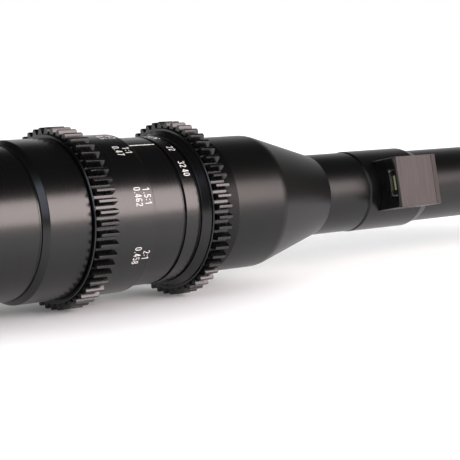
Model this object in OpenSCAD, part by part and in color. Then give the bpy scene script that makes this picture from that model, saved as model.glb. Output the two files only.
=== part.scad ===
// Macro probe cinema lens: a geared focus and iris barrel, a long slim snout with
// a ring of lamps round its front element, and a small power socket on the snout.
// Millimetres. The optical axis is +X and the seat of the camera mount lies at X = 0.

/* [Camera mount] */
// Radius of the spigot that enters the camera's throat
spigot_r = 27; // [25:0.5:28]
// Length of the spigot behind the seat
spigot_len = 8; // [6:0.5:10]
// Radius of the flange between the ears
flange_r = 31; // [29:0.5:33]
// Radius over the locking ears
ear_r = 35; // [34:0.5:38]
// Width of one locking ear in degrees
ear_angle = 46; // [30:2:60]
// Thickness of the flange
flange_t = 4; // [3:0.25:6]
// Radius of the circle that the mount screws stand on
screw_circle_r = 21; // [20:0.25:22]
// Radius of a mount screw's shank
screw_r = 1; // [0.8:0.1:1.3]
// Radius of a mount screw's head
screw_head_r = 1.9; // [1.6:0.1:2.4]
// Height of a mount screw's head
screw_head_t = 1.6; // [1.2:0.1:2.2]
// Number of mount screws
screw_count = 6; // [4:1:8]
// Thickness of the back-focus shim
shim_t = 0.3; // [0.2:0.05:0.6]

/* [Fixed barrel] */
// Radius of the bell that meets the mount
bell_r = 26; // [24:0.5:28]
// Length of the straight foot of the bell
bell_foot = 5; // [5:0.25:7]
// Length over which the bell narrows
bell_taper = 18; // [12:0.5:18]
// Wall of the rear housing's straight sleeve round the main tube
rear_wall = 1.5; // [1.1:0.1:2]
// Length of the rear housing
rear_len = 40.4; // [36:0.2:46]
// Height of the rear barrel above the rear housing's sleeve
barrel_rise = 1.1; // [0.6:0.1:1.4]
// Length of the rear barrel
barrel_len = 13.05; // [10:0.05:18]
// Length of the rear barrel's chamfer
barrel_chamfer = 1.9; // [1:0.1:3]
// Outer radius of the main tube that the rings turn on
tube_r = 16.45; // [15:0.05:18]
// Wall of the main tube
tube_wall = 2.45; // [2:0.05:3]
// Width of the rear housing's lip that the main tube stands on
lip_w = 1.45; // [1:0.05:1.8]
// Wall of the index ring
index_wall = 1.6; // [1.2:0.05:1.9]
// Length of the index ring
index_len = 8.95; // [8:0.05:10]
// Gap at the seam between the focus ring and the index ring
seam_gap = 0.1; // [0.05:0.05:0.25]

/* [Gears] */
// Gear module, the pitch that lens motors take
gear_module = 0.8; // [0.6:0.05:1]
// Least wall under the tooth roots, which sets the number of teeth
gear_floor = 1.5; // [1.2:0.05:2]
// Width of the focus gear
focus_gear_w = 5.7; // [4.5:0.1:7]
// Width of the iris gear
iris_gear_w = 4.7; // [4:0.1:5.2]
// Wall of the focus ring under its gear
seat_wall = 0.85; // [0.6:0.05:1.2]
// Thickness of the thin rim at the rear of a gear
gear_rim_t = 0.45; // [0.3:0.05:0.8]
// Height of the thin rim above the tooth roots
gear_rim_rise = 0.25; // [0.1:0.05:0.4]
// Bevel on the tooth ends
gear_bevel = 0.15; // [0.1:0.05:0.5]
// Angle of the focus gear's first tooth in the photograph's setting
focus_tooth_at = 4.7; // [0:0.1:6.9]
// Angle of the iris gear's first tooth in the photograph's setting
iris_tooth_at = 0.9; // [0:0.1:6.9]

/* [Focus] */
// Height of the focus ring's scale above the gear's seat
scale_step = 1; // [0.7:0.1:1.4]
// Length of the focus ring
focus_len = 17.8; // [17:0.05:19]
// Thickness of the web at the front of the focus ring
front_web = 1.2; // [0.8:0.1:1.6]
// Turn from the setting in the photograph to the closest distance, degrees
focus_near = 96; // [80:1:100]
// Turn from the setting in the photograph to the far stop, degrees
focus_far = 104; // [80:1:110]
// Carriage travel for one radian of turn
focus_lead = 1.72; // [1.5:0.02:1.9]
// Radius of a follower pin
pin_r = 1; // [0.8:0.05:1.1]
// Wall of the cam sleeve
cam_wall = 0.8; // [0.7:0.05:1]
// Length of the focus carriage
carriage_len = 22; // [20:0.5:24]
// Wall of the cells round the focus and rear lenses
cell_wall = 2.7; // [2.2:0.1:3.2]

/* [Iris] */
// Length of the iris ring
iris_len = 12.1; // [11.9:0.05:14]
// Wall of the iris ring at its number band
band_wall = 1.65; // [1.4:0.05:1.9]
// Length of the number band
band_len = 3.6; // [2.8:0.1:3.8]
// Width of the groove behind the number band
groove_w = 0.6; // [0.4:0.05:0.8]
// Width of the groove in front of the number band
groove_front_w = 1.1; // [0.8:0.05:1.2]
// Depth of those grooves
groove_d = 0.6; // [0.3:0.05:0.8]
// Height above the gear's seat of the collar that rises to the iris gear
rise_step = 1.2; // [0.8:0.1:1.5]
// Turn from the setting in the photograph to the smallest stop, degrees
iris_close = 34; // [25:1:36]
// Turn from the setting in the photograph to the widest stop, degrees
iris_open = 21; // [15:1:22]
// Turn of a blade for one degree of the iris ring
blade_ratio = 0.32; // [0.28:0.01:0.34]
// Number of iris blades
blade_count = 5; // [5:1:5]
// Distance from the edge of the blades' base to the circle of pivots
pivot_edge = 2.95; // [2.85:0.05:3.15]
// Distance from a blade's pivot to its drive pin
drive_arm = 3.5; // [3.2:0.1:3.7]
// Thickness of a blade
blade_t = 0.2; // [0.15:0.05:0.25]
// Distance from one blade's layer to the next
blade_pitch = 0.3; // [0.3:0.02:0.4]
// Radius of the blades' pins
blade_pin_r = 0.5; // [0.4:0.05:0.55]
// Width of a blade's crescent
crescent_w = 3.4; // [3:0.1:3.8]
// Distance from the circle of pivots to the crescent's outer edge when wide open
crescent_edge = 2.4; // [2:0.1:2.8]

/* [Front housing] */
// Height of the front housing above its neck
front_rise = 1.45; // [1.2:0.05:1.8]
// Step from the main tube down to the neck behind the front housing
neck_step = 0.85; // [0.45:0.05:1.25]
// Wall of the front housing's spigot inside the main tube
spigot_wall = 0.95; // [0.8:0.05:1.3]
// Depth of the field lens's shoulder in the front housing
field_depth = 15; // [12:0.5:17]
// Length of the neck
neck_len = 1.15; // [0.8:0.05:2]
// Length of the rear chamfer of the front housing
front_chamfer = 4.5; // [3:0.1:5]
// Length from the chamfer to the corner of the cone
front_len = 15.4; // [13:0.1:18]
// Length of the cone
cone_len = 21.5; // [18:0.1:26]
// Rounding between the front housing and the cone
cone_round = 8; // [3:1:14]

/* [Snout] */
// Wall of the middle tube round the collar's thread
mid_wall = 1.7; // [1.4:0.05:2]
// Length of the middle tube
mid_len = 14.5; // [12:0.1:17]
// Height of the power collar above the middle tube
collar_rise = 0.2; // [0.1:0.05:0.5]
// Length of the straight collar in front of the socket box
collar_front = 1; // [0.5:0.1:4]
// Length of the collar's front taper
collar_taper = 3.4; // [2:0.1:5]
// Rear chamfer of the power collar
collar_chamfer = 0.5; // [0.3:0.05:0.8]
// Drop of the collar's radius over its front taper
collar_drop = 0.95; // [0.7:0.05:1.2]
// Wall of the probe tube
probe_wall = 1.2; // [1:0.05:1.4]
// Length of the probe tube
probe_len = 215.2; // [150:0.2:260]
// Length of the tip cap
tip_len = 6; // [5.6:0.1:8]
// Outer radius of the relay tube inside the snout
relay_r = 7; // [6.2:0.05:8]
// Wall of the relay tube
relay_wall = 1; // [0.8:0.05:1.2]
// Elements in the relay tube
relay_count = 6; // [4:1:8]
// Radius of the front element
front_lens_r = 4.5; // [4:0.1:4.7]
// Lamps in the tip
lamp_count = 12; // [8:1:14]

/* [Power socket] */
// Angle of the socket box above the horizontal, degrees
port_angle = 12.4; // [0:0.2:30]
// Distance from the collar's rear edge to the box
port_back = 4; // [3:0.1:5]
// Length of the box along the lens
port_len = 15.9; // [15:0.1:18]
// Width of the box round the lens
port_w = 13.7; // [13:0.1:15]
// Height of the box above the collar
port_rise = 7.05; // [6.6:0.05:8]
// Thickness of the cover plate
cover_t = 0.9; // [0.7:0.05:1]
// Length of the cover plate's front chamfer
cover_chamfer = 2.4; // [1:0.1:3]
// Depth of the cover plate's front chamfer
cover_drop = 0.6; // [0.2:0.05:0.65]
// Wall of the box
port_wall = 1.5; // [1:0.1:2]
// Width of the socket shell
socket_w = 7.2; // [6.8:0.1:8]
// Height of the socket shell
socket_h = 2.4; // [2.2:0.1:2.6]
// Depth of the socket shell
socket_len = 5.2; // [4:0.1:6]
// Sheet thickness of the socket shell
socket_t = 0.25; // [0.2:0.05:0.35]

/* [Fits] */
// Radial clearance of a turning ring
run_fit = 0.05; // [0.03:0.01:0.08]
// Radial clearance of pieces screwed or slipped together
slip_fit = 0.05; // [0.03:0.01:0.08]
// Axial gap beside a turning ring
axial_gap = 0.25; // [0.2:0.05:0.4]
// Radial clearance of the sliding carriage
slide_fit = 0.1; // [0.06:0.01:0.15]
// Clearance of a pin in its slot
pin_fit = 0.15; // [0.1:0.01:0.2]

/* [Hidden] */
$fn = 96;
over = 1;
black = "#1b1b1d";
satin = "#2a2a2c";
steel = "#b9bcc0";
glass = "#9fc4d8";
gold = "#b8913f";
board = "#1f5a38";

// Radii of the barrel, each from the main tube outwards by a fit and a wall
ring_bore_r = tube_r + run_fit;
sleeve_bore_r = tube_r + slip_fit;
rear_r = sleeve_bore_r + rear_wall;
barrel_r = rear_r + barrel_rise;
index_r = sleeve_bore_r + index_wall;
cam_r = ring_bore_r + cam_wall;
gear_seat_r = cam_r + slip_fit + seat_wall;
focus_r = gear_seat_r + scale_step;
band_r = ring_bore_r + band_wall;
rise_r = gear_seat_r + rise_step;
neck_r = tube_r - neck_step;
front_r = neck_r + front_rise;

// Radii inside the main tube
mount_bore_r = tube_r - lip_w;
tube_bore_r = tube_r - tube_wall;
carriage_r = tube_bore_r - slide_fit;
lens_r = carriage_r - cell_wall;
iris_base_r = tube_bore_r - slip_fit;
pivot_r = iris_base_r - pivot_edge;
crescent_out_r = pivot_r - crescent_edge;
crescent_in_r = crescent_out_r - crescent_w;
front_bore_r = iris_base_r - spigot_wall;

// Radii of the snout, each from the relay tube outwards
mid_thread_r = relay_r + 1.55;
collar_thread_r = mid_thread_r + 0.45;
mid_r = collar_thread_r + slip_fit + mid_wall;
collar_r = mid_r + collar_rise;
probe_r = collar_r - collar_drop;
probe_bore_r = probe_r - probe_wall;
port_out = collar_r + port_rise;
collar_len = port_back + port_len + collar_front;

// Stations along the axis, each from the one behind it
x_shim = flange_t;
x_rear = x_shim + shim_t;
x_barrel = x_rear + rear_len;
x_focus = x_barrel + barrel_len + axial_gap;
x_index = x_focus + focus_len + seam_gap;
x_iris = x_index + index_len + axial_gap;
x_front = x_iris + iris_len + axial_gap;
x_body = x_front + neck_len + front_chamfer;
x_cone = x_body + front_len;
x_mid = x_cone + cone_len;
x_collar = x_mid + mid_len;
x_taper = x_collar + collar_len;
x_probe = x_taper + collar_taper;
x_tip = x_probe + probe_len;
x_end = x_tip + tip_len;

// The main tube stands on a lip in the rear housing
tube_lip = 2.7;
x_tube = x_rear + tube_lip;
x_focus_gear = x_focus;
x_iris_gear = x_iris + iris_len - iris_gear_w - 0.1;

// Gear tooth sizes
gear_bore_r = gear_seat_r + slip_fit;
root_depth = 1.25;
gear_teeth = ceil(2 * (gear_bore_r + gear_floor) / gear_module + 2 * root_depth);
pitch_r = gear_module * gear_teeth / 2;
tip_r = pitch_r + gear_module;
root_r = pitch_r - root_depth * gear_module;
base_r = pitch_r * cos(20);

// Focus cam and carriage
focus_wall = focus_len - front_web;
cam_len = focus_wall - 0.4;
x_cam = x_focus + 0.2;
x_pin = x_cam + cam_len / 2 + 0.9;
x_carriage = x_pin - carriage_len * 0.6;
shoulder_r = lens_r - 1.6;
element_r = lens_r - slip_fit;
pin_top_r = cam_r - 0.15;
slot_half = pin_r + pin_fit;
follower_angles = [60, 180, 300];

// Iris stack, from the fixed base forward to the driven cam ring
base_t = 1.4;
x_base = x_iris + 0.9;
x_blades = x_base + base_t + 0.2;
x_cam_plate = x_blades + blade_count * blade_pitch + 0.1;
cam_plate_t = 1.2;
x_link = x_iris_gear + iris_gear_w * 0.4;
iris_cam_r = tube_bore_r - 0.2;
cam_rim_t = 0.9;
x_cam_front = x_link + pin_r + 0.2;
pivot_hole_r = blade_pin_r + 0.06;
drive_half = blade_pin_r + 0.1;
link_angle = 90;
cam_in_r = pivot_r - 1.4;
base_in_r = crescent_in_r + 1;

// Snout and tip
thread_len = 8.9;
relay_bore_r = relay_r - relay_wall;
relay_fit_r = relay_r + slip_fit;
collar_thread = 5.5;
x_relay = x_mid - thread_len - 3;
tip_spigot = 4;
x_relay_end = x_tip;
probe_thread = 8;
probe_thread_r = probe_r - 0.65;
tip_r_out = probe_r - 0.05;
lens_boss_r = front_lens_r + 0.9;
lamp_bay_r = tip_r_out - 0.75;
lamp_bay_d = 3.4;
x_bay = x_end - lamp_bay_d;
lamp_board_t = 0.8;
lamp_t = 0.7;
window_t = 1.2;
bay_mid_r = (lens_boss_r + lamp_bay_r) / 2;

// Power socket
x_port = x_collar + port_back;
x_port_end = x_port + port_len;
box_top = port_out - cover_t;
bay_floor = collar_r + 0.65;
socket_mid = box_top - socket_h / 2 - 0.1;
pcb_t = 0.8;
pcb_top = socket_mid - socket_h / 2 - 0.05;
ribbon_t = 0.2;
ribbon_w = 3;
ribbon_r = relay_r + 0.3;
x_ribbon = x_port + port_wall + 1.2;

// Shapes that many pieces share

// Solid of revolution about X from points of distance along the axis and radius
module lathe(profile) {
    rotate([0, 90, 0]) rotate_extrude() polygon([for (p = profile) [p[1], p[0]]]);
}

module ring(x0, x1, r_in, r_out) {
    lathe([[x0, r_in], [x1, r_in], [x1, r_out], [x0, r_out]]);
}

module rod(x0, x1, r) {
    translate([x0, 0, 0]) rotate([0, 90, 0]) cylinder(h = x1 - x0, r = r);
}

// Rod that points away from the axis, at an angle about X from straight down
module spoke(x, angle, r0, r1, r) {
    rotate([angle, 0, 0]) translate([x, 0, -r1]) cylinder(h = r1 - r0, r = r);
}

// Flat outline square to the axis, with its first axis pointing down
module plate(x0, t) {
    translate([x0, 0, 0]) rotate([0, 90, 0]) linear_extrude(t) children();
}

// Pie slice outline from one angle to another
module slice(r, from, to) {
    steps = 8;
    polygon(concat([[0, 0]], [for (i = [0 : steps])
        let (a = from + (to - from) * i / steps) [r * cos(a), r * sin(a)]]));
}

// Depth of a curved lens side at a distance from the axis; a radius of 0 is a flat side
function sag(curve, r) = curve == 0 ? 0 : curve - sqrt(curve * curve - r * r);

// Lens element from its rear vertex to its front vertex
module element(x0, t, r, rear_curve, front_curve) {
    steps = 10;
    lathe(concat(
        [for (i = [0 : steps]) let (h = r * i / steps) [x0 + sag(rear_curve, h), h]],
        [for (i = [steps : -1 : 0]) let (h = r * i / steps) [x0 + t - sag(front_curve, h), h]]));
}

// Threaded ring behind a lens whose curved rear side starts at x, or before one that ends there
module retainer_behind(x, curve, r_in, r_out) {
    x1 = x + sag(curve, r_in) - seat_gap;
    ring(x1 - retainer_t, x1, r_in, r_out);
}

module retainer_before(x, curve, r_in, r_out) {
    x0 = x - sag(curve, r_in) + seat_gap;
    ring(x0, x0 + retainer_t, r_in, r_out);
}

// Involute of the base circle: the angle it has turned at a radius
function involute(r) = let (t = sqrt(pow(r / base_r, 2) - 1)) t * 180 / PI - atan(t);
function half_tooth(r) = 90 / gear_teeth + involute(pitch_r) - involute(r);
function polar(r, a) = [r * cos(a), r * sin(a)];

// Tooth outline: up one flank and down the other for each tooth in turn
function gear_outline(at) = [for (k = [0 : gear_teeth - 1])
    let (mid = at + k * 360 / gear_teeth)
    each concat(
        [for (r = [root_r, pitch_r, tip_r]) polar(r, mid - half_tooth(r))],
        [for (r = [tip_r, pitch_r, root_r]) polar(r, mid + half_tooth(r))])];

// Gear ring with a thin rim at its rear and bevelled tooth ends
module gear_ring(x0, w, at) {
    bore = gear_bore_r;
    intersection() {
        plate(x0, w) polygon(gear_outline(at));
        lathe([[x0, bore], [x0, tip_r - gear_bevel], [x0 + gear_bevel, tip_r + 0.01],
            [x0 + w - gear_bevel, tip_r + 0.01], [x0 + w, tip_r - gear_bevel], [x0 + w, bore]]);
    }
    ring(x0, x0 + gear_rim_t, bore, root_r + gear_rim_rise);
}

// Camera mount

module mount_screw_places(from) {
    for (k = [0 : screw_count - 1]) rotate([from + k * 360 / screw_count, 0, 0])
        translate([0, 0, -screw_circle_r]) children();
}

module lens_mount() {
    color(steel) difference() {
        union() {
            ring(-spigot_len, 0, mount_bore_r, spigot_r);
            ring(0, flange_t, mount_bore_r, flange_r);
            intersection() {
                ring(0, flange_t, flange_r - over, ear_r);
                plate(0, flange_t) for (k = [0 : 3])
                    slice(2 * ear_r, 45 + 90 * k - ear_angle / 2, 45 + 90 * k + ear_angle / 2);
            }
        }
        // Notch for the camera's locating pin
        rotate([45, 0, 0]) translate([-over, 0, -ear_r - 0.4]) rotate([0, 90, 0])
            cylinder(h = flange_t + 2 * over, r = 1.7);
        mount_screw_places(0) {
            rod(-spigot_len - over, flange_t + over, screw_r + slip_fit);
            rod(-spigot_len - over, -spigot_len + screw_head_t + slip_fit, screw_head_r + slip_fit);
        }
    }
}

screw_reach = bell_foot - 0.5;

module mount_screws() {
    color(steel) mount_screw_places(0) difference() {
        union() {
            rod(-spigot_len + slip_fit, -spigot_len + screw_head_t, screw_head_r);
            rod(-spigot_len + screw_head_t - slip_fit, x_rear + screw_reach, screw_r);
        }
        // Cross slots in the head
        for (a = [0, 90]) rotate([a, 0, 0])
            translate([-spigot_len - over, -screw_head_r * 0.6, -screw_head_r * 0.13])
                cube([over + screw_head_t * 0.5, screw_head_r * 1.2, screw_head_r * 0.26]);
    }
}

module mount_shim() {
    color("gold") difference() {
        ring(x_shim, x_rear, mount_bore_r + 1, bell_r - 0.2);
        mount_screw_places(0) rod(x_shim - over, x_rear + over, screw_r + slip_fit);
    }
}

// Fixed barrel

// Half a cosine wave from the foot of the bell to the sleeve
function bell_line(steps) = [for (i = [0 : steps])
    let (s = i / steps)
    [x_rear + bell_foot + bell_taper * s,
     rear_r + (bell_r - rear_r) * (1 + cos(180 * s)) / 2]];

module rear_housing() {
    color(black) difference() {
        lathe(concat(
            [[x_rear, mount_bore_r], [x_rear, bell_r]],
            bell_line(12),
            [[x_barrel, rear_r], [x_barrel, sleeve_bore_r], [x_tube, sleeve_bore_r],
             [x_tube, mount_bore_r]]));
        mount_screw_places(0) rod(x_rear - over, x_rear + screw_reach + 0.2, screw_r + slip_fit);
    }
}

module rear_barrel() {
    x1 = x_barrel + barrel_len;
    color(black) lathe([[x_barrel, sleeve_bore_r], [x_barrel, rear_r],
        [x_barrel + barrel_chamfer, barrel_r], [x1, barrel_r], [x1, sleeve_bore_r]]);
}

module main_tube() {
    travel_near = focus_lead * focus_near * PI / 180;
    travel_far = focus_lead * focus_far * PI / 180;
    color(satin) difference() {
        ring(x_tube, x_front, tube_bore_r, tube_r);
        // Straight slots that keep the follower pins from turning
        for (a = follower_angles) {
            spoke(x_pin - travel_near, a, tube_bore_r - over, tube_r + over, slot_half);
            spoke(x_pin + travel_far, a, tube_bore_r - over, tube_r + over, slot_half);
            rotate([a, 0, 0]) translate([x_pin - travel_near, -slot_half, -tube_r - over])
                cube([travel_near + travel_far, 2 * slot_half, tube_r - tube_bore_r + 2 * over]);
        }
        // Slot round the tube that the iris link sweeps
        intersection() {
            ring(x_link - slot_half, x_link + slot_half, tube_bore_r - over, tube_r + over);
            plate(x_link - slot_half, 2 * slot_half)
                slice(2 * tube_r, link_angle - iris_close, link_angle + iris_open);
        }
        for (a = [link_angle - iris_close, link_angle + iris_open])
            spoke(x_link, a, tube_bore_r - over, tube_r + over, slot_half);
    }
}

module index_ring() {
    edge = 0.15;
    x1 = x_index + index_len;
    color(black) lathe([[x_index, sleeve_bore_r], [x_index, index_r], [x1 - edge, index_r],
        [x1, index_r - edge], [x1, sleeve_bore_r]]);
}

// Rear optical cell

cell_t = 6;
cell_web = 10;
retainer_t = 2;
seat_gap = 0.1;
rear_curve = 28;
exit_curve = 32;
x_cell = -spigot_len + 2;
x_web = x_rear + 5.7;
cell_rest = 6;
x_cell_end = x_web + cell_web + cell_t + retainer_t + cell_rest;

module rear_cell() {
    color(satin) lathe([[x_cell, lens_r], [x_cell, carriage_r], [x_cell_end, carriage_r],
        [x_cell_end, lens_r], [x_web + cell_web, lens_r], [x_web + cell_web, shoulder_r],
        [x_web, shoulder_r], [x_web, lens_r]]);
}

module rear_lenses() {
    color(glass) {
        element(x_web - cell_t, cell_t, element_r, rear_curve, 0);
        element(x_web + cell_web, cell_t, element_r, 0, exit_curve);
    }
}

module rear_retainers() {
    color(black) {
        retainer_behind(x_web - cell_t, rear_curve, shoulder_r, element_r);
        retainer_before(x_web + cell_web + cell_t, exit_curve, shoulder_r, element_r);
    }
}

// Focus ring and its cam

module focus_ring() {
    edge = 0.2;
    x1 = x_focus + focus_len;
    x_gear_end = x_focus_gear + focus_gear_w;
    color(black) difference() {
        lathe([[x_focus, cam_r + slip_fit], [x_focus, gear_seat_r], [x_gear_end, gear_seat_r],
            [x_gear_end, focus_r], [x1 - edge, focus_r], [x1, focus_r - edge],
            [x1, ring_bore_r], [x_focus + focus_wall, ring_bore_r],
            [x_focus + focus_wall, cam_r + slip_fit]]);
        for (a = cam_screw_angles) spoke(x_cam_screw, a, tube_r, focus_r + over, screw_r + slip_fit);
    }
}

module focus_gear() {
    color(black) gear_ring(x_focus_gear, focus_gear_w, focus_tooth_at);
}

cam_screw_angles = [0, 120, 240];
x_cam_screw = x_focus + 1.9;

// Helical slot cutter: the follower's path as the sleeve turns from one stop to the other
module helix_slot(at) {
    run_on = asin((slot_half + 0.05) / tube_r);
    steps = 36;
    r0 = tube_r - over;
    r1 = cam_r + over;
    points = [for (i = [0 : steps])
        let (turn = -focus_near - run_on + (focus_near + focus_far + 2 * run_on) * i / steps,
             x = x_pin + focus_lead * turn * PI / 180,
             a = at - turn)
        each [for (c = [[r0, -1], [r1, -1], [r1, 1], [r0, 1]])
            [x + c[1] * slot_half, c[0] * sin(a), -c[0] * cos(a)]]];
    sides = [for (i = [0 : steps - 1], c = [0 : 3])
        let (a = 4 * i + c, b = 4 * i + (c + 1) % 4)
        each [[a, b + 4, b], [a, a + 4, b + 4]]];
    last = 4 * steps;
    polyhedron(points, concat(sides, [[0, 2, 3], [0, 1, 2],
        [last, last + 2, last + 1], [last, last + 3, last + 2]]));
}

module focus_cam() {
    color(gold) difference() {
        ring(x_cam, x_cam + cam_len, ring_bore_r, cam_r);
        for (a = follower_angles) helix_slot(a);
        for (a = cam_screw_angles) spoke(x_cam_screw, a, tube_r - over, cam_r + over, screw_r + slip_fit);
    }
}

module cam_screws() {
    color(steel) for (a = cam_screw_angles)
        spoke(x_cam_screw, a, ring_bore_r + 0.15, gear_seat_r - 0.05, screw_r);
}

// Focus carriage, which slides inside the main tube

carriage_cell = 9;
thin_t = 3.6;
focus_curve = 30;
thin_curve = 60;
x_web_rear = x_carriage + carriage_cell;
x_web_front = x_carriage + carriage_len - carriage_cell + 3;

module focus_carriage() {
    x1 = x_carriage + carriage_len;
    color(satin) difference() {
        lathe([[x_carriage, lens_r], [x_carriage, carriage_r], [x1, carriage_r], [x1, lens_r],
            [x_web_front, lens_r], [x_web_front, shoulder_r], [x_web_rear, shoulder_r],
            [x_web_rear, lens_r]]);
        for (a = follower_angles) spoke(x_pin, a, lens_r + 0.4, carriage_r + over, pin_r + 0.02);
    }
}

module focus_lenses() {
    color(glass) {
        element(x_web_rear - cell_t, cell_t, element_r, focus_curve, 0);
        element(x_web_front, thin_t, element_r, 0, thin_curve);
    }
}

module focus_retainers() {
    color(black) {
        retainer_behind(x_web_rear - cell_t, focus_curve, shoulder_r, element_r);
        retainer_before(x_web_front + thin_t, thin_curve, shoulder_r, element_r);
    }
}

module follower_pins() {
    color(steel) for (a = follower_angles) spoke(x_pin, a, lens_r + 0.5, pin_top_r, pin_r);
}

// Iris ring and its drive

module iris_ring() {
    edge = 0.12;
    floor_r = band_r - groove_d;
    x_b = x_iris + groove_w;
    x_c = x_b + band_len;
    x_d = x_c + groove_front_w;
    x_e = x_iris_gear;
    x1 = x_iris + iris_len;
    color(black) difference() {
        lathe([[x_iris, ring_bore_r], [x_iris, floor_r], [x_b, floor_r], [x_b, band_r - edge],
            [x_b + edge, band_r], [x_c, band_r], [x_c, floor_r], [x_d, floor_r], [x_d, band_r],
            [x_e, rise_r], [x_e, gear_seat_r], [x1, gear_seat_r], [x1, ring_bore_r]]);
        spoke(x_link, link_angle, tube_r, gear_seat_r + over, pin_r + 0.02);
    }
}

module iris_gear() {
    color(black) gear_ring(x_iris_gear, iris_gear_w, iris_tooth_at);
}

module iris_link() {
    color(steel) spoke(x_link, link_angle, iris_cam_r - cam_rim_t - 0.6, gear_seat_r - 0.05, pin_r);
}

// Place of a drive pin in the cam ring's own frame when the ring has turned
function spin(v, a) = [v[0] * cos(a) - v[1] * sin(a), v[0] * sin(a) + v[1] * cos(a)];
function drive_place(turn) =
    spin([pivot_r, 0] + spin([0, -drive_arm], -blade_ratio * turn), -turn);

// Curved slot: the drive pin's path, widened to both sides, with round ends
module drive_slot() {
    steps = 16;
    spare = 1;
    bend = 30;
    path = [for (i = [0 : steps])
        drive_place(-iris_close - spare + (iris_close + iris_open + 2 * spare) * i / steps)];
    function side(i) = let (d = path[min(i + 1, steps)] - path[max(i - 1, 0)])
        [-d[1], d[0]] * drive_half / norm(d);
    polygon(concat(
        [for (i = [0 : steps]) path[i] + side(i)],
        [for (a = [bend : bend : 180 - bend]) path[steps] + spin(side(steps), -a)],
        [for (i = [steps : -1 : 0]) path[i] - side(i)],
        [for (a = [bend : bend : 180 - bend]) path[0] - spin(side(0), -a)]));
}

module iris_cam() {
    x1 = x_cam_plate + cam_plate_t;
    rim_in = iris_cam_r - cam_rim_t;
    color(gold) difference() {
        lathe([[x_cam_plate, cam_in_r], [x1, cam_in_r], [x1, rim_in], [x_cam_front, rim_in],
            [x_cam_front, iris_cam_r], [x_cam_plate, iris_cam_r]]);
        for (k = [0 : blade_count - 1]) rotate([k * 360 / blade_count, 0, 0])
            plate(x_cam_plate - over, cam_plate_t + 2 * over) drive_slot();
        spoke(x_link, link_angle, cam_in_r, iris_cam_r + over, pin_r + 0.02);
    }
}

module iris_base() {
    color(satin) difference() {
        ring(x_base, x_base + base_t, base_in_r, iris_base_r);
        for (k = [0 : blade_count - 1]) rotate([k * 360 / blade_count, 0, 0])
            translate([0, 0, -pivot_r]) rod(x_base + 0.3, x_base + base_t + over, pivot_hole_r);
    }
}

// Crescent blade, drawn wide open and then turned about its pivot to the photographed stop
module blade_outline() {
    pad = 1.05;
    first = 12;
    last = 118;
    rest_turn = blade_ratio * iris_open;
    translate([pivot_r, 0]) rotate(rest_turn) translate([-pivot_r, 0]) {
        difference() {
            circle(r = crescent_out_r);
            circle(r = crescent_in_r);
            slice(3 * crescent_out_r, last, last + 120);
            slice(3 * crescent_out_r, last + 119, first + 360);
        }
        polygon([[pivot_r, -pad], [pivot_r, pad], polar(crescent_out_r - 0.05, first + 16),
            polar(crescent_in_r + 0.3, first + 4), polar(crescent_out_r - 1.2, first - 4)]);
        translate([pivot_r, 0]) circle(r = pad, $fn = 32);
    }
    polygon([[pivot_r - pad * 0.7, 0], [pivot_r - pad * 0.7, -drive_arm],
        [pivot_r + pad * 0.7, -drive_arm], [pivot_r + pad * 0.7, 0]]);
    translate([pivot_r, -drive_arm]) circle(r = pad * 0.8, $fn = 32);
}

module iris_blade(k) {
    x0 = x_blades + k * blade_pitch;
    color("#3a3a3d") rotate([k * 360 / blade_count, 0, 0]) {
        plate(x0, blade_t) blade_outline();
        translate([0, 0, -pivot_r]) rod(x_base + 0.5, x0 + blade_t / 2, blade_pin_r);
        translate([0, -drive_arm, -pivot_r])
            rod(x0 + blade_t / 2, x_cam_plate + cam_plate_t - 0.2, blade_pin_r);
    }
}

// Front housing

cone_angle = atan((front_r - mid_r) / cone_len);
x_round_start = x_cone - cone_round * tan(cone_angle / 2);
field_curve = 34;
mid_bore_r = mid_thread_r + slip_fit;
x_field = x_front + field_depth;
field_t = 6;
field_lip = 1.5;

module front_housing() {
    steps = 8;
    x_neck = x_front + neck_len;
    x_thread = x_mid - thread_len - 0.2;
    x_spigot = x_cam_front + axial_gap;
    color(black) lathe(concat(
        [[x_spigot, front_bore_r], [x_spigot, iris_base_r],
         [x_front, iris_base_r], [x_front, neck_r], [x_neck, neck_r], [x_body, front_r]],
        [for (i = [0 : steps]) let (a = cone_angle * i / steps)
            [x_round_start + cone_round * sin(a), front_r - cone_round * (1 - cos(a))]],
        [[x_mid, mid_r], [x_mid, mid_bore_r], [x_thread, mid_bore_r],
         [x_field, front_bore_r - field_lip], [x_field, front_bore_r]]));
}

module field_lens() {
    color(glass) element(x_field - field_t, field_t, front_bore_r - slip_fit, field_curve, 0);
}

module field_retainer() {
    color(black) retainer_behind(x_field - field_t, field_curve, front_bore_r - field_lip,
        front_bore_r - slip_fit);
}

// Snout tubes

module mid_tube() {
    x_step = x_collar - collar_thread - 0.2;
    color(black) lathe([[x_mid - thread_len, relay_fit_r], [x_mid - thread_len, mid_thread_r],
        [x_mid, mid_thread_r], [x_mid, mid_r], [x_collar - 0.35, mid_r], [x_collar, mid_r - 0.35],
        [x_collar, collar_thread_r + slip_fit], [x_step, collar_thread_r + slip_fit],
        [x_step, relay_fit_r]]);
}

module at_port() {
    rotate([-port_angle, 0, 0]) children();
}

// Box beside the axis: along the lens, outwards from the axis, and across
module port_block(x0, x1, out0, out1, width) {
    translate([x0, -out1, -width / 2]) cube([x1 - x0, out1 - out0, width]);
}

ribbon_slot = 0.6;

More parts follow.
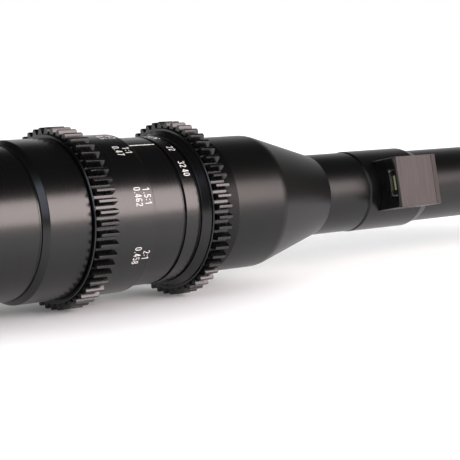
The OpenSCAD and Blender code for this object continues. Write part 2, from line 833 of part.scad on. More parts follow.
module power_collar() {
    x_counter = x_probe - probe_thread - 0.2;
    bore_r = relay_r + 1;
    color(black) difference() {
        lathe([[x_collar - collar_thread, bore_r], [x_collar - collar_thread, collar_thread_r],
            [x_collar, collar_thread_r], [x_collar, collar_r - collar_chamfer],
            [x_collar + collar_chamfer, collar_r], [x_taper, collar_r], [x_probe, probe_r],
            [x_probe, probe_thread_r + slip_fit], [x_counter, probe_thread_r + slip_fit],
            [x_counter, bore_r]]);
        at_port() port_block(x_ribbon - ribbon_slot, x_ribbon + ribbon_slot + ribbon_t,
            bore_r - over, collar_r + over, ribbon_w + 2 * ribbon_slot);
        at_port() for (x = port_screw_places) translate([x, -collar_r - over, 0])
            rotate([-90, 0, 0]) cylinder(h = over + 2, r = port_screw_r + slip_fit);
    }
}

module probe_tube() {
    color(black) lathe([[x_probe - probe_thread, probe_bore_r], [x_probe - probe_thread, probe_thread_r],
        [x_probe, probe_thread_r], [x_probe, probe_r], [x_tip, probe_r], [x_tip, probe_bore_r]]);
}

// Relay optics inside the snout

relay_step = (x_relay_end - x_relay) / relay_count;
relay_lens_t = 5;
relay_curve = 20;
spacer_wall = 0.6;
relay_lens_r = relay_bore_r - slip_fit;

module relay_tube() {
    color(satin) ring(x_relay, x_relay_end, relay_bore_r, relay_r);
}

function relay_at(k) = x_relay + relay_step * (k + 0.5) - relay_lens_t / 2;

module relay_lenses() {
    color(glass) for (k = [0 : relay_count - 1])
        element(relay_at(k), relay_lens_t, relay_lens_r, relay_curve, relay_curve);
}

module relay_spacers() {
    r_in = relay_lens_r - spacer_wall;
    bear = sag(relay_curve, r_in) - seat_gap;
    color(black) for (k = [0 : relay_count])
        let (x0 = k == 0 ? x_relay : relay_at(k - 1) + relay_lens_t - bear,
             x1 = k == relay_count ? x_relay_end : relay_at(k) + bear)
        ring(x0, x1, r_in, relay_lens_r);
}

// Power socket box

port_screw_r = 0.7;
port_head_r = 1.3;
port_head_t = 0.9;
port_screw_pitch = 4;
x_port_screw = x_port_end - port_wall - port_head_r - 0.4;
port_screw_places = [x_port_screw - port_screw_pitch, x_port_screw];

module port_housing() {
    inner_w = port_w - 2 * port_wall;
    color(black) at_port() difference() {
        port_block(x_port, x_port_end, 0, box_top, port_w);
        rod(x_port - over, x_port_end + over, collar_r + 0.02);
        translate([x_port - over, 0, -collar_r]) cube([port_len + 2 * over, collar_r, 2 * collar_r]);
        port_block(x_port + port_wall, x_port_end - port_wall, bay_floor, box_top + over, inner_w);
        // Mouth for the socket
        port_block(x_port - over, x_port + port_wall + over, socket_mid - socket_h / 2 - slip_fit,
            socket_mid + socket_h / 2 + slip_fit, socket_w + 2 * slip_fit);
        port_block(x_ribbon - ribbon_slot, x_ribbon + ribbon_slot + ribbon_t, collar_r - over,
            bay_floor + over, ribbon_w + 2 * ribbon_slot);
        for (x = port_screw_places) translate([x, -bay_floor - over, 0])
            rotate([-90, 0, 0]) cylinder(h = 2 * over + 1, r = port_screw_r + slip_fit);
    }
}

module port_screws() {
    color(steel) at_port() for (x = port_screw_places) {
        translate([x, -bay_floor - port_head_t, 0]) rotate([-90, 0, 0])
            cylinder(h = port_head_t, r = port_head_r);
        translate([x, -bay_floor - 0.1, 0]) rotate([-90, 0, 0])
            cylinder(h = bay_floor - collar_r + 1.7, r = port_screw_r);
    }
}

// Cover plate with a long shallow chamfer at its front
module port_cover() {
    color("#8a8586") at_port() translate([0, 0, -port_w / 2]) linear_extrude(port_w)
        polygon([[x_port, -box_top], [x_port, -port_out], [x_port_end - cover_chamfer, -port_out],
            [x_port_end, -port_out + cover_drop], [x_port_end, -box_top]]);
}

module port_board() {
    color(board) at_port() port_block(x_port + port_wall + slip_fit, x_port_end - port_wall - slip_fit,
        pcb_top - pcb_t, pcb_top, port_w - 2 * port_wall - 2 * slip_fit);
}

module socket_shell() {
    color(steel) at_port() difference() {
        port_block(x_port, x_port + socket_len, socket_mid - socket_h / 2,
            socket_mid + socket_h / 2, socket_w);
        port_block(x_port - over, x_port + socket_len - socket_t, socket_mid - socket_h / 2 + socket_t,
            socket_mid + socket_h / 2 - socket_t, socket_w - 2 * socket_t);
    }
}

module socket_tongue() {
    tongue_t = 0.6;
    color("#c9c7a8") at_port() port_block(x_port + 0.8, x_port + socket_len - socket_t,
        socket_mid - tongue_t / 2 - 0.25, socket_mid + tongue_t / 2 - 0.25, socket_w * 0.55);
}

// Flat ribbon from the socket's board down into the collar and along to the lamps
module lamp_ribbon() {
    color("#a0722c") at_port() {
        port_block(x_ribbon, x_ribbon + ribbon_t, ribbon_r, pcb_top - pcb_t, ribbon_w);
        port_block(x_ribbon, x_bay - 0.02, ribbon_r, ribbon_r + ribbon_t, ribbon_w);
    }
}

// Tip with its lamps

lens_seat_d = 2.2;
front_lens_t = 1.9;
front_curve = 22;

module tip_cap() {
    edge = 0.4;
    x_back = x_tip + 1.6;
    color(black) difference() {
        lathe([[x_tip - tip_spigot, relay_fit_r], [x_tip - tip_spigot, probe_bore_r - slip_fit],
            [x_tip, probe_bore_r - slip_fit], [x_tip, tip_r_out], [x_end - edge, tip_r_out],
            [x_end, tip_r_out - edge], [x_end, lamp_bay_r], [x_bay, lamp_bay_r], [x_bay, lens_boss_r],
            [x_end - 0.3, lens_boss_r], [x_end - 0.3, front_lens_r + slip_fit],
            [x_end - lens_seat_d, front_lens_r + slip_fit], [x_end - lens_seat_d, front_lens_r - 0.6],
            [x_back, front_lens_r - 0.6], [x_back, relay_fit_r]]);
        at_port() port_block(x_tip - tip_spigot - over, x_bay + over, ribbon_r - 0.5,
            ribbon_r + ribbon_t + 0.3, ribbon_w + 0.6);
    }
}

module lamp_board() {
    color("white") ring(x_bay, x_bay + lamp_board_t, lens_boss_r + slip_fit, lamp_bay_r - slip_fit);
}

module tip_lamps() {
    lamp_w = 1.5;
    color("#e8d27a") for (k = [0 : lamp_count - 1]) rotate([k * 360 / lamp_count, 0, 0])
        translate([x_bay + lamp_board_t, -lamp_w / 2, -bay_mid_r - lamp_w / 2])
            cube([lamp_t, lamp_w, lamp_w]);
}

module lamp_window() {
    x1 = x_end - 0.15;
    color("#dfe6ea") ring(x1 - window_t, x1, lens_boss_r + slip_fit, lamp_bay_r - slip_fit);
}

module front_element() {
    color(glass) element(x_end - lens_seat_d, front_lens_t, front_lens_r, 0, front_curve);
}

lens_mount();
mount_screws();
mount_shim();
rear_housing();
rear_barrel();
main_tube();
rear_cell();
rear_lenses();
rear_retainers();
index_ring();
focus_ring();
focus_gear();
focus_cam();
cam_screws();
focus_carriage();
focus_lenses();
focus_retainers();
follower_pins();
iris_ring();
iris_gear();
iris_link();
iris_cam();
iris_base();
iris_blade(0);  // iris_blade_1
iris_blade(1);  // iris_blade_2
iris_blade(2);  // iris_blade_3
iris_blade(3);  // iris_blade_4
iris_blade(4);  // iris_blade_5
front_housing();
field_lens();
field_retainer();
mid_tube();
power_collar();
port_housing();
port_screws();
port_cover();
port_board();
socket_shell();
socket_tongue();
lamp_ribbon();
relay_tube();
relay_lenses();
relay_spacers();
probe_tube();
tip_cap();
lamp_board();
tip_lamps();
lamp_window();
front_element();
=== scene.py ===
"""Looks of a macro probe cinema lens, built piece by piece from the camera mount to the lamp tip.

The optical axis is +X and the mount's seat lies at X = 0. Angles round the lens are measured
from the photographed side (-Y) upwards, so 0 faces the viewer and 90 is the top.
"""

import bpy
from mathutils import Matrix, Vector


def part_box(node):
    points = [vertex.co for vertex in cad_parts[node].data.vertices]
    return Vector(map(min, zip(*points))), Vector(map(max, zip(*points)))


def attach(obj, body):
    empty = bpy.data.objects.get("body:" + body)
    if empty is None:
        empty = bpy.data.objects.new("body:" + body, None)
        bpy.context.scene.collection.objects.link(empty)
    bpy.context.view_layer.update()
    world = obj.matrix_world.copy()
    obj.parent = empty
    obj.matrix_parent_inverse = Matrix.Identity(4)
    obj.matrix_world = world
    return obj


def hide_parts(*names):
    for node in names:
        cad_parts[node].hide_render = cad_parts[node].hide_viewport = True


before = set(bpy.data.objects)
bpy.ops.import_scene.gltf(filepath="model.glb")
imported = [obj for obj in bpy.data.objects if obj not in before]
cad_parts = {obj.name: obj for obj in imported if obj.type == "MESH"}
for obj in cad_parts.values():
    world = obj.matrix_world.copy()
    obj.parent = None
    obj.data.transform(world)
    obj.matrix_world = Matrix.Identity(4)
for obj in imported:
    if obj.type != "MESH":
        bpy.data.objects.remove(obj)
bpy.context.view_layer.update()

import math

import bmesh
import bpy
import numpy as np
from mathutils import Vector

# Camera mount
# A four-ear breech-lock mount, turned and milled from stainless steel and ground on its seat.
# Six screws in counterbores hold it to the bell, over a thin brass shim that sets the back focus.

mm = 0.001


def span(node):
    """Rear end, front end and largest radius of a round node, in millimetres, from the frame."""
    low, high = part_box(node)
    return low.x / mm, high.x / mm, max(high.y, high.z) / mm


def eased(outline, ease, steps=4):
    """Closed outline with every corner rounded by a parabola.

    The corner P is replaced by (1-t)^2 A + 2t(1-t) P + t^2 B for t from 0 to 1, where A and B lie
    the easing length before and after P, but never past the middle of a side.
    """
    p = np.asarray(outline, float)
    back = np.roll(p, 1, axis=0) - p
    ahead = np.roll(p, -1, axis=0) - p
    back_len = np.linalg.norm(back, axis=1)
    ahead_len = np.linalg.norm(ahead, axis=1)
    cut = np.minimum(np.broadcast_to(ease, back_len.shape), 0.46 * np.minimum(back_len, ahead_len))
    a = p + back * (cut / back_len)[:, None]
    b = p + ahead * (cut / ahead_len)[:, None]
    t = np.linspace(0, 1, steps)[None, :, None]
    curve = (1 - t) ** 2 * a[:, None] + 2 * t * (1 - t) * p[:, None] + t ** 2 * b[:, None]
    return curve.reshape(-1, p.shape[1])


def ring_faces(rows, columns):
    """Quads of a grid that closes on itself in both directions, as one array of indices."""
    i = np.arange(rows)[:, None]
    j = np.arange(columns)[None, :]
    i2 = (i + 1) % rows
    j2 = (j + 1) % columns
    corners = [i * columns + j, i * columns + j2, i2 * columns + j2, i2 * columns + j]
    return np.stack(corners, -1).reshape(-1, 4)


def crisp(made):
    """Keeps edges that bend by more than 40 degrees sharp and flat faces flat, and smooths the rest."""
    mesh = made.data
    mesh.polygons.foreach_set("use_smooth", np.ones(len(mesh.polygons), bool))
    mesh.set_sharp_from_angle(angle=math.radians(40))
    weighted = made.modifiers.new("flat faces stay flat", "WEIGHTED_NORMAL")
    weighted.keep_sharp = True


def piece(name, points, faces, material):
    """Object from points in millimetres, with poles merged and faces turned outwards."""
    mesh = bpy.data.meshes.new(name)
    mesh.from_pydata((np.asarray(points) * mm).tolist(), [], [list(face) for face in faces])
    shell = bmesh.new()
    shell.from_mesh(mesh)
    bmesh.ops.remove_doubles(shell, verts=shell.verts, dist=1e-7)
    bmesh.ops.recalc_face_normals(shell, faces=shell.faces)
    shell.to_mesh(mesh)
    shell.free()
    mesh.materials.append(material)
    made = bpy.data.objects.new(name, mesh)
    bpy.context.scene.collection.objects.link(made)
    crisp(made)
    return made


def around(x, r, theta):
    """Points at a distance along the axis, a radius and an angle: (x, -r cos theta, r sin theta)."""
    x, r, theta = np.broadcast_arrays(x, r, theta)
    return np.stack([x, -r * np.cos(theta), r * np.sin(theta)], -1)


def lathe(name, outlines, material, ease=0.15, turns=192):
    """Closed outlines of (distance along the axis, radius), each carried once round the axis."""
    theta = np.linspace(0, 2 * math.pi, turns, endpoint=False)
    points, faces, start = [], [], 0
    for outline in outlines:
        section = eased(outline, ease)
        points.append(around(section[:, :1], section[:, 1:], theta[None, :]).reshape(-1, 3))
        faces.append(ring_faces(len(section), turns) + start)
        start += len(points[-1])
    return piece(name, np.concatenate(points), np.concatenate(faces), material)


def linear(hex_colour):
    """sRGB hex colour as linear red, green, blue and an alpha of 1."""
    c = np.array([int(hex_colour[i:i + 2], 16) for i in (1, 3, 5)]) / 255
    return (*np.where(c <= 0.04045, c / 12.92, ((c + 0.055) / 1.055) ** 2.4), 1.0)


def add(tree, kind, values=(), links=(), **settings):
    """Adds one node: settings are its properties, values fill its sockets and links feed them."""
    made = tree.nodes.new("ShaderNode" + kind)
    for key, value in settings.items():
        setattr(made, key, value)
    for socket, value in dict(values).items():
        made.inputs[socket].default_value = value
    for socket, source in dict(links).items():
        tree.links.new(source, made.inputs[socket])
    return made


def blank_material(name):
    """New material with an empty node tree and its output node."""
    made = bpy.data.materials.new(name)
    made.use_nodes = True
    made.node_tree.nodes.clear()
    return made, made.node_tree, made.node_tree.nodes.new("ShaderNodeOutputMaterial")


def turned_metal(name, colour, roughness, line_mm, depth_mm, metallic=0.0, ior=1.5, spread=0.05):
    """Lathe-turned surface: fine rings round the axis, from noise over the distance along it plus
    the distance from it, so that tubes and end faces both get them.

    line_mm is the spacing of the tool marks and depth_mm their depth, which only tilts the
    reflections. The marks are drawn a little coarser than real ones so that they show.
    """
    made, tree, out = blank_material(name)
    place = add(tree, "TexCoord")
    along = add(tree, "SeparateXYZ", links={0: place.outputs["Object"]})
    across = add(tree, "Mapping", {"Scale": (0, 1, 1)}, {"Vector": place.outputs["Object"]})
    radius = add(tree, "VectorMath", links={0: across.outputs["Vector"]}, operation="LENGTH")
    cut = add(tree, "Math", links={0: along.outputs["X"], 1: radius.outputs["Value"]}, operation="ADD")
    marks = add(tree, "TexNoise", {"Scale": 1 / (line_mm * mm), "Detail": 3.0, "Roughness": 0.6},
                {"W": cut.outputs[0]}, noise_dimensions="1D")
    rough = add(tree, "MapRange", {"To Min": roughness - spread, "To Max": roughness + spread},
                {"Value": marks.outputs["Fac"]})
    bump = add(tree, "Bump", {"Strength": 1.0, "Distance": depth_mm * mm},
               {"Height": marks.outputs["Fac"]})
    surface = add(tree, "BsdfPrincipled",
                  {"Base Color": linear(colour), "Metallic": metallic, "IOR": ior},
                  {"Roughness": rough.outputs["Result"], "Normal": bump.outputs["Normal"]})
    tree.links.new(surface.outputs["BSDF"], out.inputs["Surface"])
    return made


# Stainless steel as it leaves the lathe: warm grey metal with close tool rings
mount_steel = turned_metal("turned_stainless_steel", "#b4b2ae", 0.24, 0.12, 0.002, metallic=1.0)

spigot_r = 27
undercut_w = 0.8
undercut_d = 0.4
flange_r = 31
mount_bore_r = 15
ear_half_angle = 23
ear_flank = 0.7
notch_r = 1.7
notch_out = 0.4
ear_r = 35
mount_x0, flange_t, _ = span("lens_mount")


def mount_outline(rim_r):
    """Half section of the mount: spigot, undercut behind the seat, and flange with one rim radius."""
    return [(mount_x0, mount_bore_r), (mount_x0, spigot_r), (-undercut_w, spigot_r),
            (-undercut_w, spigot_r - undercut_d), (0, spigot_r - undercut_d), (0, rim_r),
            (flange_t, rim_r), (flange_t, mount_bore_r)]


# The rim goes from the flange out to each ear along a smoothstep flank, 3t^2 - 2t^3
mount_ease = [0.3, 0.5, 0.15, 0.15, 0.1, 0.35, 0.35, 0.3]
mount_steps = 720
between = eased(mount_outline(flange_r), mount_ease)
at_ear = eased(mount_outline(ear_r), mount_ease)
mount_theta = np.linspace(0, 2 * math.pi, mount_steps, endpoint=False)
from_ear = np.abs((np.degrees(mount_theta) % 90) - 45)
in_ear = np.clip((ear_half_angle + ear_flank - from_ear) / (2 * ear_flank), 0, 1)
in_ear = in_ear * in_ear * (3 - 2 * in_ear)
mount_radius = between[:, 1:] + (at_ear[:, 1:] - between[:, 1:]) * in_ear
# The locating notch is a circle that bites into one ear, 45 degrees from straight down
notch_at = math.radians(-135)
notch_centre = ear_r + notch_out
notch_side = notch_centre * np.sin(mount_theta - notch_at)
near_notch = (np.abs(notch_side) < notch_r) & (np.cos(mount_theta - notch_at) > 0)
notch_floor = np.where(
    near_notch,
    notch_centre * np.cos(mount_theta - notch_at)
    - np.sqrt(np.maximum(notch_r ** 2 - notch_side ** 2, 0)), 2 * ear_r)
mount_radius = np.minimum(mount_radius, notch_floor)
mount_points = around(between[:, :1], mount_radius, mount_theta[None, :])
lens_mount = piece("camera_mount", mount_points.reshape(-1, 3),
                   ring_faces(len(between), len(mount_theta)), mount_steel)

# Counterbored screw holes, cut out of the rear face
screw_count = 6
screw_circle_r = 21
screw_hole_r = 1.05
head_hole_r = 2.15
head_hole_d = 1.65
drill_past = 1
hole_steps = 40
axis_r = 1e-6
hole_outline = np.array([(mount_x0 - drill_past, axis_r), (mount_x0 - drill_past, head_hole_r),
                         (mount_x0 + head_hole_d, head_hole_r), (mount_x0 + head_hole_d, screw_hole_r),
                         (flange_t + drill_past, screw_hole_r), (flange_t + drill_past, axis_r)])
hole_turn = np.linspace(0, 2 * math.pi, hole_steps, endpoint=False)
hole_points = around(hole_outline[:, :1], hole_outline[:, 1:], hole_turn[None, :]).reshape(-1, 3)
hole_at = 2 * math.pi / screw_count * np.arange(screw_count)
hole_shift = np.stack([0 * hole_at, np.sin(hole_at), -np.cos(hole_at)], -1) * screw_circle_r
all_holes = (hole_points[None] + hole_shift[:, None]).reshape(-1, 3)
hole_faces = ring_faces(len(hole_outline), len(hole_turn))
hole_start = np.arange(screw_count)[:, None, None] * len(hole_points)
cutter = piece("screw_holes", all_holes, (hole_faces[None] + hole_start).reshape(-1, 4), mount_steel)
lens_mount.modifiers.clear()
drill = lens_mount.modifiers.new("screw holes", "BOOLEAN")
drill.operation = "DIFFERENCE"
drill.solver = "EXACT"
drill.object = cutter
drilled = lens_mount.evaluated_get(bpy.context.evaluated_depsgraph_get())
drilled_mesh = bpy.data.meshes.new_from_object(drilled)
lens_mount.modifiers.clear()
lens_mount.data = drilled_mesh
bpy.data.objects.remove(cutter)
crisp(lens_mount)
# The end faces stay flat, so that the holes leave no streaks in their shading
facing = np.empty(3 * len(drilled_mesh.polygons))
drilled_mesh.polygons.foreach_get("normal", facing)
drilled_mesh.polygons.foreach_set("use_smooth", np.abs(facing[::3]) < 0.9999)
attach(lens_mount, "barrel")
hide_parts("lens_mount")

# Rear housing
# The bell and sleeve between the mount and the rings, turned from one aluminium bar.
# Black anodised, with fine tool rings that draw the light out along the lens.

# Turned and black anodised aluminium: deep black with a crisp gloss that the tool rings draw out
turned_black = turned_metal("turned_black_anodised_aluminium", "#060606", 0.25, 0.22, 0.0028)

bell_foot = 5
bell_taper = 18
rear_r = 18
sleeve_bore_r = 16.5
tube_lip = 2.7
rear_x0, rear_x1, bell_r = span("rear_housing")
wave = np.linspace(0, 1, 25)
bell_curve = np.stack([rear_x0 + bell_foot + bell_taper * wave,
                       rear_r + (bell_r - rear_r) * (1 + np.cos(math.pi * wave)) / 2], -1)
rear_outline = [(rear_x0, mount_bore_r), (rear_x0, bell_r), *bell_curve.tolist(), (rear_x1, rear_r),
                (rear_x1, sleeve_bore_r), (rear_x0 + tube_lip, sleeve_bore_r),
                (rear_x0 + tube_lip, mount_bore_r)]
rear_housing = lathe("rear_housing_sleeve", [rear_outline], turned_black, 0.3)
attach(rear_housing, "barrel")
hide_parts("rear_housing")

# Rear barrel
# A wider fixed sleeve screwed up against the rear housing, with a chamfer behind the focus gear.
# A narrow undercut where the two meet reads as a dark line.

barrel_chamfer = 1.9
seam_w = 0.5
seam_d = 0.35
barrel_x0, barrel_x1, barrel_r = span("rear_barrel")
barrel_outline = [(barrel_x0, sleeve_bore_r), (barrel_x0, rear_r - seam_d),
                  (barrel_x0 + seam_w, rear_r - seam_d), (barrel_x0 + seam_w, rear_r),
                  (barrel_x0 + barrel_chamfer, barrel_r), (barrel_x1, barrel_r),
                  (barrel_x1, sleeve_bore_r)]
rear_barrel = lathe("rear_barrel_sleeve", [barrel_outline], turned_black, 0.12)
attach(rear_barrel, "barrel")
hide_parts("rear_barrel")

# Focus gear
# A ring of 52 involute teeth of module 0.8, hobbed and hard anodised, pressed over the focus ring.
# A thin rim stands behind the teeth, past a narrow groove, and its chamfer draws one fine circle.

# Hard anodised teeth: the same black, a little glossier where the hob has cut
gear_black = turned_metal("hobbed_hard_anodised_aluminium", "#050506", 0.26, 0.15, 0.001, ior=1.55)

gear_module = 0.8
gear_teeth = 52
pressure_angle = math.radians(20)
root_depth = 1.25
gear_bevel = 0.15
gear_rim_t = 0.45
gear_rim_rise = 0.25
gear_rim_edge = 0.2
gear_rim_land = 0.06
gear_groove_w = 0.15
gear_groove_d = 0.4
gear_bore_r = 18.25
tooth_ease = 0.06
pitch_r = gear_module * gear_teeth / 2
tip_r = pitch_r + gear_module
root_r = pitch_r - root_depth * gear_module


def involute(r):
    """Angle that the involute of the base circle has turned at a radius: tan(a) - a."""
    t = np.sqrt((r / (pitch_r * math.cos(pressure_angle))) ** 2 - 1)
    return t - np.arctan(t)


def gear(name, node, first_tooth, material):
    """Tooth outline carried along the axis from the rim to a bevelled front end.

    The outline runs up one flank and down the other of every tooth, at the half angle
    90 degrees / teeth + involute(pitch) - involute(r).
    """
    x0, x1, _ = span(node)
    flank = np.linspace(root_r, tip_r, 5)
    half = math.pi / 2 / gear_teeth + involute(pitch_r) - involute(flank)
    middle = math.radians(first_tooth) + 2 * math.pi / gear_teeth * np.arange(gear_teeth)[:, None]
    angle = np.concatenate([middle - half, middle + half[::-1]], 1).ravel()
    radius = np.tile(np.concatenate([flank, flank[::-1]]), gear_teeth)
    outline = eased(np.stack([radius * np.sin(angle), -radius * np.cos(angle)], -1), tooth_ease, 3)
    theta = np.arctan2(outline[:, 1], -outline[:, 0])
    r = np.linalg.norm(outline, axis=1)
    even = np.ones_like(r)
    rim_r = (root_r + gear_rim_rise) * even
    groove_floor = (root_r - gear_groove_d) * even
    x_rim = x0 + gear_rim_edge
    x_teeth = x0 + gear_rim_t + gear_groove_w
    stations = np.array([x0, x0, x_rim, x_rim + gear_rim_land, x_rim + gear_rim_land, x_teeth, x_teeth,
                         x1 - gear_bevel, x1, x1])
    rows = np.stack([gear_bore_r * even, rim_r - gear_rim_edge, rim_r, rim_r, groove_floor, groove_floor,
                     r, r, np.minimum(r, tip_r - gear_bevel), gear_bore_r * even])
    points = around(stations[:, None], rows, theta[None, :])
    return piece(name, points.reshape(-1, 3), ring_faces(len(stations), len(theta)), material)


focus_tooth_at = 4.7
focus_gear = gear("focus_gear_teeth", "focus_gear", focus_tooth_at, gear_black)
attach(focus_gear, "focus")
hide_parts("focus_gear")

# Focus ring
# The scale ring that the gear sits on, turned from aluminium and bored out for the cam sleeve.
# Magnifications and distances are filled in white and read down the side of the lens.

gear_seat_r = 18.2
ring_bore_r = 16.55
focus_web = 1.2
slip_fit = 0.05
focus_x0, focus_x1, focus_r = span("focus_ring")
gear_end = span("focus_gear")[1]
cam_bore_r = span("focus_cam")[2] + slip_fit
focus_outline = [(focus_x0, cam_bore_r), (focus_x0, gear_seat_r), (gear_end, gear_seat_r),
                 (gear_end, focus_r), (focus_x1, focus_r), (focus_x1, ring_bore_r),
                 (focus_x1 - focus_web, ring_bore_r), (focus_x1 - focus_web, cam_bore_r)]
focus_ring = lathe("focus_scale_ring", [focus_outline], turned_black, 0.22)
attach(focus_ring, "focus")
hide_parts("focus_ring")


def painted(name, colour, roughness, cloud_mm=0.3, spread=0.08):
    """Filled paint: a matt coat whose gloss is uneven in clouds of a given size."""
    made, tree, out = blank_material(name)
    place = add(tree, "TexCoord")
    uneven = add(tree, "TexNoise", {"Scale": 1 / (cloud_mm * mm)}, {"Vector": place.outputs["Object"]})
    rough = add(tree, "MapRange", {"To Min": roughness - spread, "To Max": roughness + spread},
                {"Value": uneven.outputs["Fac"]})
    surface = add(tree, "BsdfPrincipled", {"Base Color": linear(colour)},
                  {"Roughness": rough.outputs["Result"]})
    tree.links.new(surface.outputs["BSDF"], out.inputs["Surface"])
    return made


# Engraver's white: slightly warm and matt, so that the figures read under any lamp
scale_paint = painted("white_scale_paint", "#dedbd8", 0.55)


def arc(u, v, wide, high, start, stop, count=10):
    """Points of an ellipse about (u, v) between two angles in degrees."""
    a = np.radians(np.linspace(start, stop, count))
    return np.stack([u + wide * np.cos(a), v + high * np.sin(a)], -1).tolist()


def dot(v):
    """Short square stroke at a height above the base line."""
    return False, [(0.06, v), (0.2, v)]


# Narrow engraver's figures, one unit high, as the middle lines of their strokes; True closes a line
loop_low = (True, arc(0.22, 0.28, 0.15, 0.21, 0, 330, 16))
bow_turn = np.linspace(0, 2 * math.pi, 28, endpoint=False)
bow = np.stack([0.46 + 0.36 * np.cos(bow_turn), 0.5 + 0.24 * np.sin(2 * bow_turn)], -1).tolist()
figures = {
    "0": [(True, arc(0.22, 0.7, 0.15, 0.23, 0, 180) + arc(0.22, 0.3, 0.15, 0.23, 180, 360))],
    "1": [(False, [(0.26, 0), (0.26, 1)]), (False, [(0.06, 0.74), (0.23, 0.94)])],
    "2": [(False, arc(0.22, 0.72, 0.15, 0.21, 170, -30) + [(0.09, 0.07), (0.42, 0.07)])],
    "3": [(False, arc(0.2, 0.73, 0.15, 0.2, 155, -80)), (False, arc(0.2, 0.29, 0.17, 0.22, 80, -155))],
    "4": [(False, [(0.3, 0), (0.3, 1)]), (False, [(0.27, 0.95), (0.07, 0.27), (0.44, 0.27)])],
    "5": [(False, [(0.4, 0.93), (0.11, 0.93), (0.09, 0.5)] + arc(0.21, 0.32, 0.16, 0.25, 120, -150))],
    "6": [loop_low, (False, arc(0.24, 0.68, 0.17, 0.25, 30, 180) + [(0.07, 0.3)])],
    "7": [(False, [(0.05, 0.93), (0.38, 0.93), (0.17, 0)])],
    "8": [loop_low, (True, arc(0.22, 0.73, 0.13, 0.2, 0, 330, 16))],
    ".": [dot(0.07)],
    ":": [dot(0.25), dot(0.72)],
    "\u221e": [(True, bow)],
}
advance = {".": 0.3, ":": 0.3, "\u221e": 0.98}
figure_w = 0.53
body_w = 0.44
stroke_w = 0.095
mitre_limit = 0.7


def stroke_mesh(path, closed):
    """Flat bar along a line: each point moves half a stroke to both sides along its mitre.

    The mitre is the sum of the two sides' normals, divided by its length along one of them.
    Returns points (u, v, top or bottom) and faces.
    """
    p = np.array(path)
    ahead = np.roll(p, -1, axis=0) - p
    if not closed:
        ahead[-1] = ahead[-2]
    normal = np.stack([-ahead[:, 1], ahead[:, 0]], -1) / np.linalg.norm(ahead, axis=1)[:, None]
    before = np.roll(normal, 1, axis=0)
    if not closed:
        before[0] = normal[0]
    mitre = normal + before
    mitre /= np.maximum((mitre * normal).sum(1), mitre_limit)[:, None]
    side = mitre * stroke_w / 2
    rows = np.stack([p - side, p + side, p + side, p - side], 1)
    level = np.broadcast_to(np.array([0, 0, 1, 1.0])[None, :, None], rows.shape[:2] + (1,))
    faces = ring_faces(len(p), 4)
    if not closed:
        end = 4 * len(p)
        faces = np.concatenate([faces[:-4], [[0, 1, 2, 3], [end - 4, end - 3, end - 2, end - 1]]])
    return np.concatenate([rows, level], -1).reshape(-1, 3), faces


paint_sink = 0.03
paint_proud = 0.012


def lettering(name, labels, radius):
    """One object of all the figures on a ring, reading downwards with their tops to the front.

    Each label is (figures, height, distance along the axis, angle of its middle). A point of the
    flat label at (u, v) goes to the angle minus u / radius and the distance plus v.
    """
    points, faces, start = [], [], 0
    for words, height, x, angle in labels:
        pen = -sum(advance.get(c, figure_w) for c in words) / 2 + (figure_w - body_w) / 2
        for c in words:
            for closed, path in figures[c]:
                bar, skin = stroke_mesh(path, closed)
                u, v, level = bar.T
                turn = math.radians(angle) - (u + pen) * height / radius
                r = radius - paint_sink + (paint_sink + paint_proud) * level
                points.append(around(x + (v - 0.5) * height, r, turn))
                faces.append(skin + start)
                start += len(u)
            pen += advance.get(c, figure_w)
    return piece(name, np.concatenate(points), np.concatenate(faces), scale_paint)


focus_marks = [("2:1", "0.458", -24.6), ("1.5:1", "0.462", 18.1), ("1:1", "0.47", 57.1),
               ("1:2", "0.5", 79), ("1:4", "0.6", 100), ("1:8", "0.8", 123), ("1:16", "1.2", 148),
               ("\u221e", "\u221e", 172)]
focus_cap = 1.97
ratio_x = 73.95
distance_x = 71.35
focus_labels = [row for ratio, distance, angle in focus_marks
                for row in ((ratio, focus_cap, ratio_x, angle), (distance, focus_cap, distance_x, angle))]
focus_scale = lettering("focus_scale_numbers", focus_labels, focus_r)
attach(focus_scale, "focus")

# Index ring
# A plain fixed ring between the two moving ones, with one white line that both scales read against.
# It is a push fit on the main tube and is turned from the same aluminium as its neighbours.

index_edge = 0.2
index_x0, index_x1, index_r = span("index_ring")
index_ring = lathe("index_ring_band", [[(index_x0, sleeve_bore_r), (index_x0, index_r),
                                        (index_x1, index_r), (index_x1, sleeve_bore_r)]],
                   turned_black, index_edge)
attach(index_ring, "barrel")
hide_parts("index_ring")

index_angle = math.radians(68)
index_line_w = 0.33
line_turn = np.array([-1, 1, 1, -1]) * index_line_w / 2 / index_r
line_x = np.array([index_x0, index_x0, index_x1, index_x1]) + np.array([1, 1, -1, -1]) * index_edge
line_r = index_r + np.array([[-paint_sink], [paint_proud]])
line_points = around(line_x[None, :], line_r, index_angle + line_turn[None, :]).reshape(-1, 3)
line_faces = [[0, 1, 2, 3], [4, 5, 6, 7], [0, 1, 5, 4], [1, 2, 6, 5], [2, 3, 7, 6], [3, 0, 4, 7]]
index_line = piece("index_line", line_points, line_faces, scale_paint)
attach(index_line, "barrel")

# Iris ring
# A narrow number band between two cut grooves, and a collar that rises to the iris gear.
# Turned in one piece with the band left proud, so that the grooves stay black.

